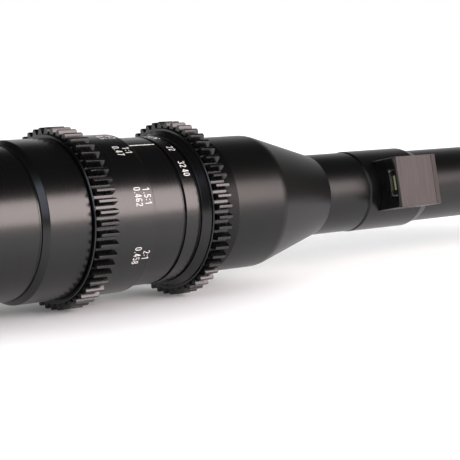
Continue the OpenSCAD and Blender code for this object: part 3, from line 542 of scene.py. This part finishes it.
groove_w = 0.6
groove_front_w = 1.1
groove_d = 0.6
band_len = 3.6
band_r = 18.15
rise_r = 19.4
iris_x0, iris_x1, _ = span("iris_ring")
iris_gear_x0 = span("iris_gear")[0]
band_x0 = iris_x0 + groove_w
band_x1 = band_x0 + band_len
rise_x0 = band_x1 + groove_front_w
groove_r = band_r - groove_d
iris_outline = [(iris_x0, ring_bore_r), (iris_x0, groove_r), (band_x0, groove_r), (band_x0, band_r),
                (band_x1, band_r), (band_x1, groove_r), (rise_x0, groove_r), (rise_x0, band_r),
                (iris_gear_x0, rise_r), (iris_gear_x0, gear_seat_r), (iris_x1, gear_seat_r),
                (iris_x1, ring_bore_r)]
iris_ring = lathe("iris_number_ring", [iris_outline], turned_black, 0.13)
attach(iris_ring, "iris")
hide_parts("iris_ring")

iris_tooth_at = 0.9
iris_gear = gear("iris_gear_teeth", "iris_gear", iris_tooth_at, gear_black)
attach(iris_gear, "iris")
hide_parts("iris_gear")

iris_cap = 1.95
iris_number_x = 88
stops = [("14", 89), ("16", 81), ("22", 60.2), ("32", 42.4), ("40", 34.8)]
iris_labels = [(stop, iris_cap, iris_number_x, angle) for stop, angle in stops]
iris_numbers = lettering("iris_stop_numbers", iris_labels, band_r)
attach(iris_numbers, "iris")

# Front housing
# The straight body and long cone that carry the field lens, bead blasted before anodising.
# Blasting leaves a fine even grain, so its highlight is wider and duller than on the turned rings.


def fine_grained(name, colour, roughness, grain_mm, depth_mm, ior=1.5, metallic=0.0, spread=0.06):
    """Even fine grain, as blasting, moulding or rolling leaves it: small dimples that soften the gloss."""
    made, tree, out = blank_material(name)
    place = add(tree, "TexCoord")
    grain = add(tree, "TexNoise", {"Scale": 1 / (grain_mm * mm), "Detail": 2.0, "Roughness": 0.7},
                {"Vector": place.outputs["Object"]})
    rough = add(tree, "MapRange", {"To Min": roughness - spread, "To Max": roughness + spread},
                {"Value": grain.outputs["Fac"]})
    bump = add(tree, "Bump", {"Strength": 1.0, "Distance": depth_mm * mm},
               {"Height": grain.outputs["Fac"]})
    surface = add(tree, "BsdfPrincipled",
                  {"Base Color": linear(colour), "Metallic": metallic, "IOR": ior},
                  {"Roughness": rough.outputs["Result"], "Normal": bump.outputs["Normal"]})
    tree.links.new(surface.outputs["BSDF"], out.inputs["Surface"])
    return made


# Blasted and anodised aluminium: black with a wide, soft and rather weak gloss
blasted_black = fine_grained("bead_blasted_black_anodised", "#060606", 0.33, 0.3, 0.004, ior=1.39)

neck_r = 15.6
neck_len = 1.15
front_chamfer = 4.5
front_len = 15.4
cone_round = 8
front_bore_r = 13
front_spigot_r = front_bore_r + 0.95
field_shelf_r = front_bore_r - 1.5
field_bay_len = 15
mid_socket_r = 8.6
thread_len = 8.9
thread_runout = 0.2
iris_gap = 0.25
neck_x0 = iris_x1 + iris_gap
front_x0, front_x1, front_r = span("front_housing")
_, mid_x1, mid_r = span("mid_tube")
body_x = neck_x0 + neck_len + front_chamfer
cone_x = body_x + front_len
# The corner before the cone is an arc that touches both lines
cone_angle = math.atan((front_r - mid_r) / (front_x1 - cone_x))
round_x = cone_x - cone_round * math.tan(cone_angle / 2)
bend = np.linspace(0, cone_angle, 15)
cone_corner = np.stack([round_x + cone_round * np.sin(bend),
                        front_r - cone_round * (1 - np.cos(bend))], -1)
shelf_x = neck_x0 + field_bay_len
front_outline = [(front_x0, front_bore_r), (front_x0, front_spigot_r), (neck_x0, front_spigot_r),
                 (neck_x0, neck_r), (neck_x0 + neck_len, neck_r), (body_x, front_r),
                 *cone_corner.tolist(), (front_x1, mid_r), (front_x1, mid_socket_r),
                 (front_x1 - thread_len - thread_runout, mid_socket_r), (shelf_x, field_shelf_r),
                 (shelf_x, front_bore_r)]
front_housing = lathe("front_housing_cone", [front_outline], blasted_black, 0.15)
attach(front_housing, "barrel")
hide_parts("front_housing")

# Middle tube
# A short blasted tube screwed into the cone. Its bevelled front edge and the collar's chamfer
# leave a dark seam with one bright edge.

mid_bevel = 0.35
mid_thread_r = 8.55
relay_fit_r = 7.05
collar_thread_r = 9.05
collar_thread_len = 5.7
mid_outline = [(front_x1 - thread_len, relay_fit_r), (front_x1 - thread_len, mid_thread_r),
               (front_x1, mid_thread_r), (front_x1, mid_r), (mid_x1 - mid_bevel, mid_r),
               (mid_x1, mid_r - mid_bevel), (mid_x1, collar_thread_r),
               (mid_x1 - collar_thread_len, collar_thread_r), (mid_x1 - collar_thread_len, relay_fit_r)]
mid_tube = lathe("middle_tube", [mid_outline], blasted_black, 0.08)
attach(mid_tube, "barrel")
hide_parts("mid_tube")

# Power collar
# The collar that carries the socket box, turned with a rear chamfer and a front taper.
# It screws over the middle tube and takes the snout's thread in its front.

collar_chamfer = 0.5
collar_taper = 3.4
collar_bore_r = 8
collar_spigot_r = 9
snout_thread_r = 9.4
snout_thread_len = 8.2
probe_r = 10
collar_x0, collar_x1, collar_r = span("power_collar")
collar_seat = mid_x1
collar_outline = [(collar_x0, collar_bore_r), (collar_x0, collar_spigot_r), (collar_seat, collar_spigot_r),
                  (collar_seat, collar_r - collar_chamfer), (collar_seat + collar_chamfer, collar_r),
                  (collar_x1 - collar_taper, collar_r), (collar_x1, probe_r), (collar_x1, snout_thread_r),
                  (collar_x1 - snout_thread_len, snout_thread_r),
                  (collar_x1 - snout_thread_len, collar_bore_r)]
power_collar = lathe("power_collar_ring", [collar_outline], blasted_black, 0.1)
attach(power_collar, "barrel")
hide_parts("power_collar")

# Socket box
# A small milled box seated on the collar by a saddle and held from inside by two screws.
# Its rear wall has the mouth for the power socket.

port_angle = math.radians(12.4)
port_w = 13.7
port_len = 15.9
port_setback = 4
cover_t = 0.9
port_out = 18
box_low = 6
box_corner = 0.3
box_ease = 0.25
ease_step = 0.08
saddle_sink = 0.05
socket_w = 7.2
socket_h = 2.4
socket_drop = 0.1
mouth_gap = 0.12
mouth_corner = 0.7
mouth_depth = 4.6
mouth_bevel_w = 0.15
mouth_bevel_d = 0.2
port_x0 = collar_seat + port_setback
port_x1 = port_x0 + port_len
box_top = port_out - cover_t
box_mid = (box_low + box_top) / 2
box_height = box_top - box_low
socket_mid = box_top - socket_h / 2 - socket_drop


def at_port(x, out, across):
    """Points of the box from distance along the lens, height from the axis and place across it.

    The box's height points at the port angle above the horizontal, and across is square to it.
    """
    x, out, across = np.broadcast_arrays(x, out, across)
    y = -out * math.cos(port_angle) + across * math.sin(port_angle)
    z = out * math.sin(port_angle) + across * math.cos(port_angle)
    return np.stack([x, y, z], -1)


def rectangle(centre, height, width, corner, count=16):
    """Rounded rectangle as (height, across) points: a quarter circle of points at each corner."""
    turn = np.linspace(0, math.pi / 2, count)[None, :] + (np.arange(4) * math.pi / 2)[:, None]
    sign_out = np.array([1, -1, -1, 1])[:, None]
    sign_across = np.array([1, 1, -1, -1])[:, None]
    out = centre + sign_out * (height / 2 - corner) + corner * np.cos(turn)
    across = sign_across * (width / 2 - corner) + corner * np.sin(turn)
    return out.ravel(), across.ravel()


def capped(name, rows, material):
    """Skin over rows of points, each row a closed loop, with both ends closed by one face."""
    last, count = len(rows) - 1, rows.shape[1]
    skin = ring_faces(len(rows), count)[:last * count]
    ends = [list(range(count)), list(range(last * count, (last + 1) * count))]
    return piece(name, rows.reshape(-1, 3), [*skin.tolist(), *ends], material)


def loft(name, loops, material):
    """Capped skin over a row of like loops, each (distance along the lens, (height, across))."""
    return capped(name, np.stack([at_port(x, out, across) for x, (out, across) in loops]), material)


def box_loop(inset):
    """Outline of the box, drawn in by an inset, whose lower side follows the collar."""
    out, across = rectangle(box_mid, box_height - 2 * inset, port_w - 2 * inset, box_corner)
    saddle = np.sqrt(np.maximum((collar_r - saddle_sink) ** 2 - across ** 2, 0))
    return np.maximum(out, saddle), across


def mouth_loop(grow):
    """Outline of the socket's mouth, grown all round by a clearance, with round corners."""
    return rectangle(socket_mid, socket_h + 2 * grow, socket_w + 2 * grow, mouth_corner)


box_loops = [(port_x0 + mouth_depth, mouth_loop(mouth_gap)),
             (port_x0 + mouth_bevel_d, mouth_loop(mouth_gap)),
             (port_x0, mouth_loop(mouth_gap + mouth_bevel_w)), (port_x0, box_loop(box_ease)),
             (port_x0 + ease_step, box_loop(ease_step)), (port_x0 + box_ease, box_loop(0)),
             (port_x1 - box_ease, box_loop(0)), (port_x1 - ease_step, box_loop(ease_step)),
             (port_x1, box_loop(box_ease))]
port_housing = loft("socket_box", box_loops, turned_black)
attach(port_housing, "barrel")
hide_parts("port_housing")

# Cover plate
# A flat brushed plate over the box, glued into its rim, with a long shallow chamfer at the front.
# Anodised dark grey, it faces the light squarely and looks paler than the rest.


def brushed_plate(name, dark, pale, roughness, grain_mm, depth_mm, ior, stretch=0.06, spread=0.05):
    """Brushed and anodised plate: streaks across the lens, from noise drawn out across it.

    The dye takes unevenly in the scratches, so the colour goes from dark to pale with the noise.
    """
    made, tree, out = blank_material(name)
    place = add(tree, "TexCoord")
    streaks = add(tree, "Mapping", {"Scale": (1, stretch, stretch)}, {"Vector": place.outputs["Object"]})
    grain = add(tree, "TexNoise", {"Scale": 1 / (grain_mm * mm), "Detail": 3.0},
                {"Vector": streaks.outputs["Vector"]})
    rough = add(tree, "MapRange", {"To Min": roughness - spread, "To Max": roughness + spread},
                {"Value": grain.outputs["Fac"]})
    bump = add(tree, "Bump", {"Strength": 1.0, "Distance": depth_mm * mm},
               {"Height": grain.outputs["Fac"]})
    dye = add(tree, "Mix", {6: linear(dark), 7: linear(pale)}, {0: grain.outputs["Fac"]},
              data_type="RGBA")
    surface = add(tree, "BsdfPrincipled", {"IOR": ior},
                  {"Base Color": dye.outputs[2], "Roughness": rough.outputs["Result"],
                   "Normal": bump.outputs["Normal"]})
    tree.links.new(surface.outputs["BSDF"], out.inputs["Surface"])
    return made


# Brushed and dyed plate: warm dark grey, dull, with fine streaks that are drawn coarse enough to show
grey_plate = brushed_plate("brushed_grey_anodised_plate", "#363130", "#544d4c", 0.36, 0.6, 0.009, 1.24)

cover_chamfer = 2.4
cover_drop = 0.6
cover_edge = 0.12
cover_edge_step = 0.04
cover_ease = 0.1
cover_half = np.array([8.0, 0.45])
cover_line_w = 0.3
cover_line_d = 0.22
chamfer_x = port_x1 - cover_chamfer
cover_side = [(port_x0, box_top), (port_x0, port_out), (chamfer_x, port_out),
              (chamfer_x, port_out - cover_line_d), (chamfer_x + cover_line_w, port_out - cover_line_d),
              (chamfer_x + cover_line_w, port_out - cover_line_w * cover_drop / cover_chamfer),
              (port_x1, port_out - cover_drop), (port_x1, box_top)]


def cover_loop(inset):
    """Side outline of the plate, scaled about its middle by 1 - inset / half size."""
    side = eased(cover_side, cover_ease)
    middle = side.mean(0)
    return middle + (side - middle) * (1 - inset / cover_half)


half_w = port_w / 2
cover_stations = [(-half_w, cover_edge), (-half_w + cover_edge_step, cover_edge_step),
                  (-half_w + cover_edge, 0), (half_w - cover_edge, 0),
                  (half_w - cover_edge_step, cover_edge_step), (half_w, cover_edge)]
cover_rows = np.stack([at_port(*cover_loop(inset).T, across) for across, inset in cover_stations])
port_cover = capped("socket_box_cover", cover_rows, grey_plate)
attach(port_cover, "barrel")
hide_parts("port_cover")

# Power socket
# A folded sheet-steel shell, plated bright, with a moulded tongue that carries the contacts.
# It is soldered to the board inside and shows through the mouth of the box.

# Nickel plate on rolled steel is bright and a little warm, and the moulded tongue is a matt olive
plated_steel = fine_grained("nickel_plated_sheet_steel", "#b9b8b2", 0.3, 0.4, 0.001, metallic=1.0)
socket_plastic = fine_grained("moulded_liquid_crystal_polymer", "#8d8c6c", 0.5, 0.25, 0.002)

socket_len = 5.2
socket_t = 0.25
shell_corner = 0.6
lip_x = 0.02
lip_out = 0.06
lip_in = 0.2
fold_x = 0.08


def socket_loop(inset):
    """Outline of the socket shell, drawn in by an inset."""
    return rectangle(socket_mid, socket_h - 2 * inset, socket_w - 2 * inset, shell_corner * (1 - inset))


shell_loops = [(port_x0 + socket_len, socket_loop(0)), (port_x0 + fold_x, socket_loop(0)),
               (port_x0 + lip_x, socket_loop(lip_out)), (port_x0 + lip_x, socket_loop(lip_in)),
               (port_x0 + fold_x, socket_loop(socket_t)),
               (port_x0 + socket_len - socket_t, socket_loop(socket_t))]
socket_shell = loft("power_socket_shell", shell_loops, plated_steel)
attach(socket_shell, "barrel")
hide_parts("socket_shell")

tongue_w = socket_w * 0.55
tongue_t = 0.6
tongue_mid = socket_mid - 0.25
tongue_x = 0.8
tongue_nose = 0.12


def tongue_loop(inset):
    """Outline of the tongue, drawn in by an inset."""
    return rectangle(tongue_mid, tongue_t - 2 * inset, tongue_w - 2 * inset, tongue_nose - inset / 2)


tongue_loops = [(port_x0 + tongue_x, tongue_loop(tongue_nose)),
                (port_x0 + tongue_x + tongue_nose, tongue_loop(0)),
                (port_x0 + socket_len - socket_t, tongue_loop(0))]
socket_tongue = loft("power_socket_tongue", tongue_loops, socket_plastic)
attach(socket_tongue, "barrel")
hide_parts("socket_tongue")

# Snout
# One long drawn aluminium tube, blasted and anodised, that screws into the power collar.
# It holds the relay optics and the ribbon that feeds the lamps at the tip.

probe_bore_r = 8.8
probe_spigot_r = 9.35
probe_x0, probe_x1, _ = span("probe_tube")
probe_outline = [(probe_x0, probe_bore_r), (probe_x0, probe_spigot_r), (collar_x1, probe_spigot_r),
                 (collar_x1, probe_r), (probe_x1, probe_r), (probe_x1, probe_bore_r)]
probe_tube = lathe("snout_tube", [probe_outline], blasted_black, 0.12)
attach(probe_tube, "barrel")
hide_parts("probe_tube")

# Lamp tip
# A turned cap pushed into the snout, with a bay for the lamp board round the front lens.
# Its rim is bevelled and its bay is left as machined, black all over.

tip_edge = 0.4
tip_spigot_x0, tip_x1, tip_cap_r = span("tip_cap")
bay_depth = 3.4
bay_r = tip_cap_r - 0.75
boss_r = 5.4
boss_drop = 0.3
front_lens_r = 4.5
lens_fit = 0.05
lens_lip = 0.6
lens_seat_d = 2.2
tip_spigot_r = 8.75
relay_stop = 1.6
seat_r = front_lens_r + lens_fit
throat_r = front_lens_r - lens_lip
tip_outline = [(tip_spigot_x0, relay_fit_r), (tip_spigot_x0, tip_spigot_r), (probe_x1, tip_spigot_r),
               (probe_x1, tip_cap_r), (tip_x1 - tip_edge, tip_cap_r), (tip_x1, tip_cap_r - tip_edge),
               (tip_x1, bay_r), (tip_x1 - bay_depth, bay_r), (tip_x1 - bay_depth, boss_r),
               (tip_x1 - boss_drop, boss_r), (tip_x1 - boss_drop, seat_r), (tip_x1 - lens_seat_d, seat_r),
               (tip_x1 - lens_seat_d, throat_r), (probe_x1 + relay_stop, throat_r),
               (probe_x1 + relay_stop, relay_fit_r)]
tip_cap = lathe("lamp_tip_cap", [tip_outline], turned_black, 0.1)
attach(tip_cap, "barrel")
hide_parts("tip_cap")

# Front and rear glass
# Ground and polished elements with a multilayer coating that reflects a little violet.
# Each is dropped into its cell and held by a threaded ring.


def coated_glass_material(name, tint, reflection):
    """Polished coated glass: clear body, very smooth, with a tinted coating over it."""
    made, tree, out = blank_material(name)
    surface = add(tree, "BsdfPrincipled",
                  {"Base Color": linear(tint), "Roughness": 0.01, "IOR": 1.6,
                   "Transmission Weight": 1.0, "Coat Weight": 0.7, "Coat Roughness": 0.01,
                   "Coat IOR": 1.9, "Coat Tint": linear(reflection)})
    tree.links.new(surface.outputs["BSDF"], out.inputs["Surface"])
    return made


# Coated optical glass: clear and sharp, with a faint violet in what it reflects
coated_glass = coated_glass_material("coated_optical_glass", "#f2f6f4", "#cbbfe8")


def lens_outline(x0, thickness, radius, rear_curve, front_curve):
    """Half section of an element: each side sags by R - sqrt(R^2 - h^2) at height h, or is flat."""
    h = np.linspace(axis_r, radius, 14)
    rear_sag = rear_curve - np.sqrt(rear_curve ** 2 - h ** 2) if rear_curve else 0 * h
    front_sag = front_curve - np.sqrt(front_curve ** 2 - h ** 2) if front_curve else 0 * h
    rear = np.stack([x0 + rear_sag, h], -1)
    front = np.stack([x0 + thickness - front_sag, h], -1)[::-1]
    return np.concatenate([rear, front])


rear_curve = 28
exit_curve = 32
rear_lens_t = 6
lens_ease = 0.1
rear_glass_x0, rear_glass_x1, rear_glass_r = span("rear_lenses")
rear_lenses = lathe("rear_glass", [
    lens_outline(rear_glass_x0, rear_lens_t, rear_glass_r, rear_curve, 0),
    lens_outline(rear_glass_x1 - rear_lens_t, rear_lens_t, rear_glass_r, 0, exit_curve)],
    coated_glass, lens_ease, 96)
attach(rear_lenses, "barrel")
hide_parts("rear_lenses")

front_lens_t = 1.9
front_curve = 22
front_element = lathe("front_glass", [
    lens_outline(tip_x1 - lens_seat_d, front_lens_t, front_lens_r, 0, front_curve)],
    coated_glass, lens_ease, 96)
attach(front_element, "barrel")
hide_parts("front_element")

# Inner pieces
# What the housings hide: cells, cams, blades, boards and wiring keep their solids' shapes.
# Each gets the finish that it has on the bench.

# Matt black soaks up stray light, brass and blackened steel are bare, boards and film show their resin
inner_black = fine_grained("flocked_matt_black_interior", "#0b0b0b", 0.7, 0.2, 0.002, ior=1.45)
brass = turned_metal("turned_brass", "#b8913f", 0.28, 0.15, 0.0015, metallic=1.0)
blackened_steel = fine_grained("blackened_steel", "#2b2b2d", 0.42, 0.2, 0.001, ior=1.6)
board_green = fine_grained("solder_masked_board", "#1f5a38", 0.4, 0.5, 0.001)
board_white = fine_grained("white_lamp_board", "#e6e6e2", 0.5, 0.4, 0.001)
ribbon_film = fine_grained("polyimide_ribbon", "#a0722c", 0.3, 0.6, 0.001, ior=1.6)
lamp_resin = fine_grained("phosphor_lamp_resin", "#e8d27a", 0.35, 0.3, 0.001)
clear_window = coated_glass_material("clear_acrylic_window", "#f4f6f7", "#ffffff")
finishes = {
    brass: ["mount_shim", "focus_cam", "iris_cam"],
    plated_steel: ["cam_screws", "follower_pins", "iris_link", "port_screws"],
    inner_black: ["main_tube", "rear_cell", "rear_retainers", "focus_carriage", "focus_retainers",
                  "iris_base", "field_retainer", "relay_tube", "relay_spacers"],
    coated_glass: ["focus_lenses", "field_lens", "relay_lenses"],
    blackened_steel: ["mount_screws", *("iris_blade_%d" % k for k in range(1, 6))],
    board_green: ["port_board"],
    board_white: ["lamp_board"],
    ribbon_film: ["lamp_ribbon"],
    lamp_resin: ["tip_lamps"],
    clear_window: ["lamp_window"],
}
for finish, names in finishes.items():
    for name in names:
        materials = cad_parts[name].data.materials
        materials.clear()
        materials.append(finish)

# Table top
# A plain pale table that the lens lies on with its gears, with a round well under the mount,
# which hangs clear because it is wider than the gears.

table_gap = 0.15
table_z = -tip_r - table_gap
well_x = -12
well_r = 36
well_depth = 17
table_near_r = 200
table_r = 6000
table_t = 40
table_ease = 1.5
table_steps = 96
table_edge = [(axis_r, table_z - well_depth), (well_r, table_z - well_depth), (well_r, table_z),
              (table_near_r, table_z), (table_r, table_z), (table_r, table_z - table_t),
              (axis_r, table_z - table_t)]
table_section = eased(table_edge, table_ease)
table_turn = np.linspace(0, 2 * math.pi, table_steps, endpoint=False)
table_points = np.stack(np.broadcast_arrays(
    well_x + table_section[:, :1] * np.cos(table_turn), table_section[:, :1] * np.sin(table_turn),
    table_section[:, 1:]), -1).reshape(-1, 3)
table_white, tree, out = blank_material("pale_table_top")
paths = add(tree, "LightPath")
seen = add(tree, "Math", links={0: paths.outputs["Is Camera Ray"], 1: paths.outputs["Is Glossy Ray"]},
           operation="MAXIMUM")
seen_through = add(tree, "Math", links={0: seen.outputs[0], 1: paths.outputs["Is Transmission Ray"]},
                   operation="MAXIMUM")
# The table's glow is a painted shadow round the lens: it grows away from where the gears touch it, and
# again well behind the lens
place = add(tree, "TexCoord")
from_gears = add(tree, "Mapping", {"Location": (-0.046, 0, 0), "Scale": (0.7, 1, 0)},
                 {"Vector": place.outputs["Object"]})
distance = add(tree, "VectorMath", links={0: from_gears.outputs["Vector"]}, operation="LENGTH")
front_glow_with_painted_shade = add(tree, "MapRange", {"From Min": 0.016, "From Max": 0.06, "To Min": 0.06, "To Max": 0.37},
           {"Value": distance.outputs["Value"]}, interpolation_type="SMOOTHSTEP")
depth = add(tree, "SeparateXYZ", links={0: place.outputs["Object"]})
back_glow_with_painted_shade = add(tree, "MapRange", {"From Min": 0.112, "From Max": 0.17, "To Min": 0.14, "To Max": 0.45},
          {"Value": distance.outputs["Value"]}, interpolation_type="SMOOTHSTEP")
share = add(tree, "MapRange", {"From Min": -0.005, "From Max": 0.035},
            {"Value": depth.outputs["Y"]}, interpolation_type="SMOOTHSTEP")
# Painted shade: the glow is kept low round the gears and at middle distance behind the lens
glow_with_painted_shade = add(tree, "Mix", links={0: share.outputs["Result"], 2: front_glow_with_painted_shade.outputs["Result"],
                                   3: back_glow_with_painted_shade.outputs["Result"]})
glow = add(tree, "Math", links={0: seen_through.outputs[0], 1: glow_with_painted_shade.outputs[0]},
           operation="MULTIPLY")
surface = add(tree, "BsdfPrincipled",
              {"Base Color": linear("#efefef"), "Roughness": 0.9, "Specular IOR Level": 0.0,
               "Emission Color": (1, 1, 1, 1)}, {"Emission Strength": glow.outputs[0]})
tree.links.new(surface.outputs["BSDF"], out.inputs["Surface"])
table = piece("table_top", table_points, ring_faces(len(table_section), len(table_turn)), table_white)

# Light
# A softbox at the right of the viewer draws the long highlight, a weaker one further round lights
# the snout, and a cool one on the viewer's left picks out the edges that face back.


def lamp(name, aim, azimuth, elevation, distance, width, height, radiance, colour):
    """Rectangular lamp that looks at a point; its power is pi x area x radiance."""
    a, e = math.radians(azimuth), math.radians(elevation)
    away = Vector((math.sin(a) * math.cos(e), -math.cos(a) * math.cos(e), math.sin(e)))
    data = bpy.data.lights.new(name, "AREA")
    data.shape = "RECTANGLE"
    data.size = width
    data.size_y = height
    data.energy = math.pi * width * height * radiance
    data.color = linear(colour)[:3]
    made = bpy.data.objects.new(name, data)
    made.location = Vector(aim) + away * distance
    made.rotation_euler = away.to_track_quat("Z", "Y").to_euler()
    made.visible_camera = False
    bpy.context.scene.collection.objects.link(made)
    return made


rings_middle = (0.09, 0, 0)
snout_rear = (0.16, 0, 0)
lamp("softbox", rings_middle, azimuth=28, elevation=17.5, distance=0.7, width=0.46, height=0.38,
     radiance=9.2, colour="#fff0ee")
lamp("strip", snout_rear, azimuth=51, elevation=16, distance=0.8, width=0.15, height=0.3,
     radiance=4, colour="#fff4f0")
lamp("fill", rings_middle, azimuth=-57, elevation=26, distance=0.9, width=0.62, height=0.55,
     radiance=2.3, colour="#e9eeff")

world = bpy.data.worlds.new("studio")
bpy.context.scene.world = world
world.use_nodes = True
tree = world.node_tree
tree.nodes.clear()
paths = add(tree, "LightPath")
place = add(tree, "TexCoord")
direction = add(tree, "SeparateXYZ", links={0: place.outputs["Generated"]})
# Glossy surfaces see the pale backdrop behind the lens, up to 15 degrees, and a dark room elsewhere
wall_top = math.sin(math.radians(15))
ceiling = math.sin(math.radians(40))
low = add(tree, "MapRange", {"From Min": wall_top, "From Max": ceiling, "To Min": 1.0, "To Max": 0.0},
          {"Value": direction.outputs["Z"]}, interpolation_type="SMOOTHSTEP")
behind = add(tree, "MapRange", {"From Min": -0.1, "From Max": 0.35},
             {"Value": direction.outputs["Y"]}, interpolation_type="SMOOTHSTEP")
pale = add(tree, "Math", links={0: low.outputs["Result"], 1: behind.outputs["Result"]},
           operation="MULTIPLY")
walls = add(tree, "MapRange", {"To Min": 0.02, "To Max": 0.8}, {"Value": pale.outputs[0]})
room = add(tree, "Mix", {2: 1.0, 3: 0.75}, {0: paths.outputs["Is Diffuse Ray"]})
level = add(tree, "Mix", links={0: paths.outputs["Is Glossy Ray"], 2: room.outputs[0],
                                3: walls.outputs["Result"]})
shine = add(tree, "Background", {"Color": (1, 1, 1, 1)}, {"Strength": level.outputs[0]})
out = tree.nodes.new("ShaderNodeOutputWorld")
tree.links.new(shine.outputs["Background"], out.inputs["Surface"])

# Camera
# Placed at the photograph's angle, a little above the lens and off its rear left.

focal_px = 1543.5
frame_px = 460
sensor_mm = 36
camera_azimuth = math.radians(-39.958)
camera_elevation = math.radians(7.390)
camera_distance = 0.39939
camera_aim = Vector((0.114218, 0, -0.007207))
back = Vector((math.sin(camera_azimuth) * math.cos(camera_elevation),
               -math.cos(camera_azimuth) * math.cos(camera_elevation), math.sin(camera_elevation)))
camera_data = bpy.data.cameras.new("camera")
camera_data.sensor_width = sensor_mm
camera_data.lens = focal_px * sensor_mm / frame_px
camera_data.clip_start = 0.01
camera = bpy.data.objects.new("camera", camera_data)
camera.location = camera_aim + back * camera_distance
camera.rotation_euler = back.to_track_quat("Z", "Y").to_euler()
bpy.context.scene.collection.objects.link(camera)
bpy.context.scene.camera = camera
bpy.context.scene.view_settings.view_transform = "Standard"
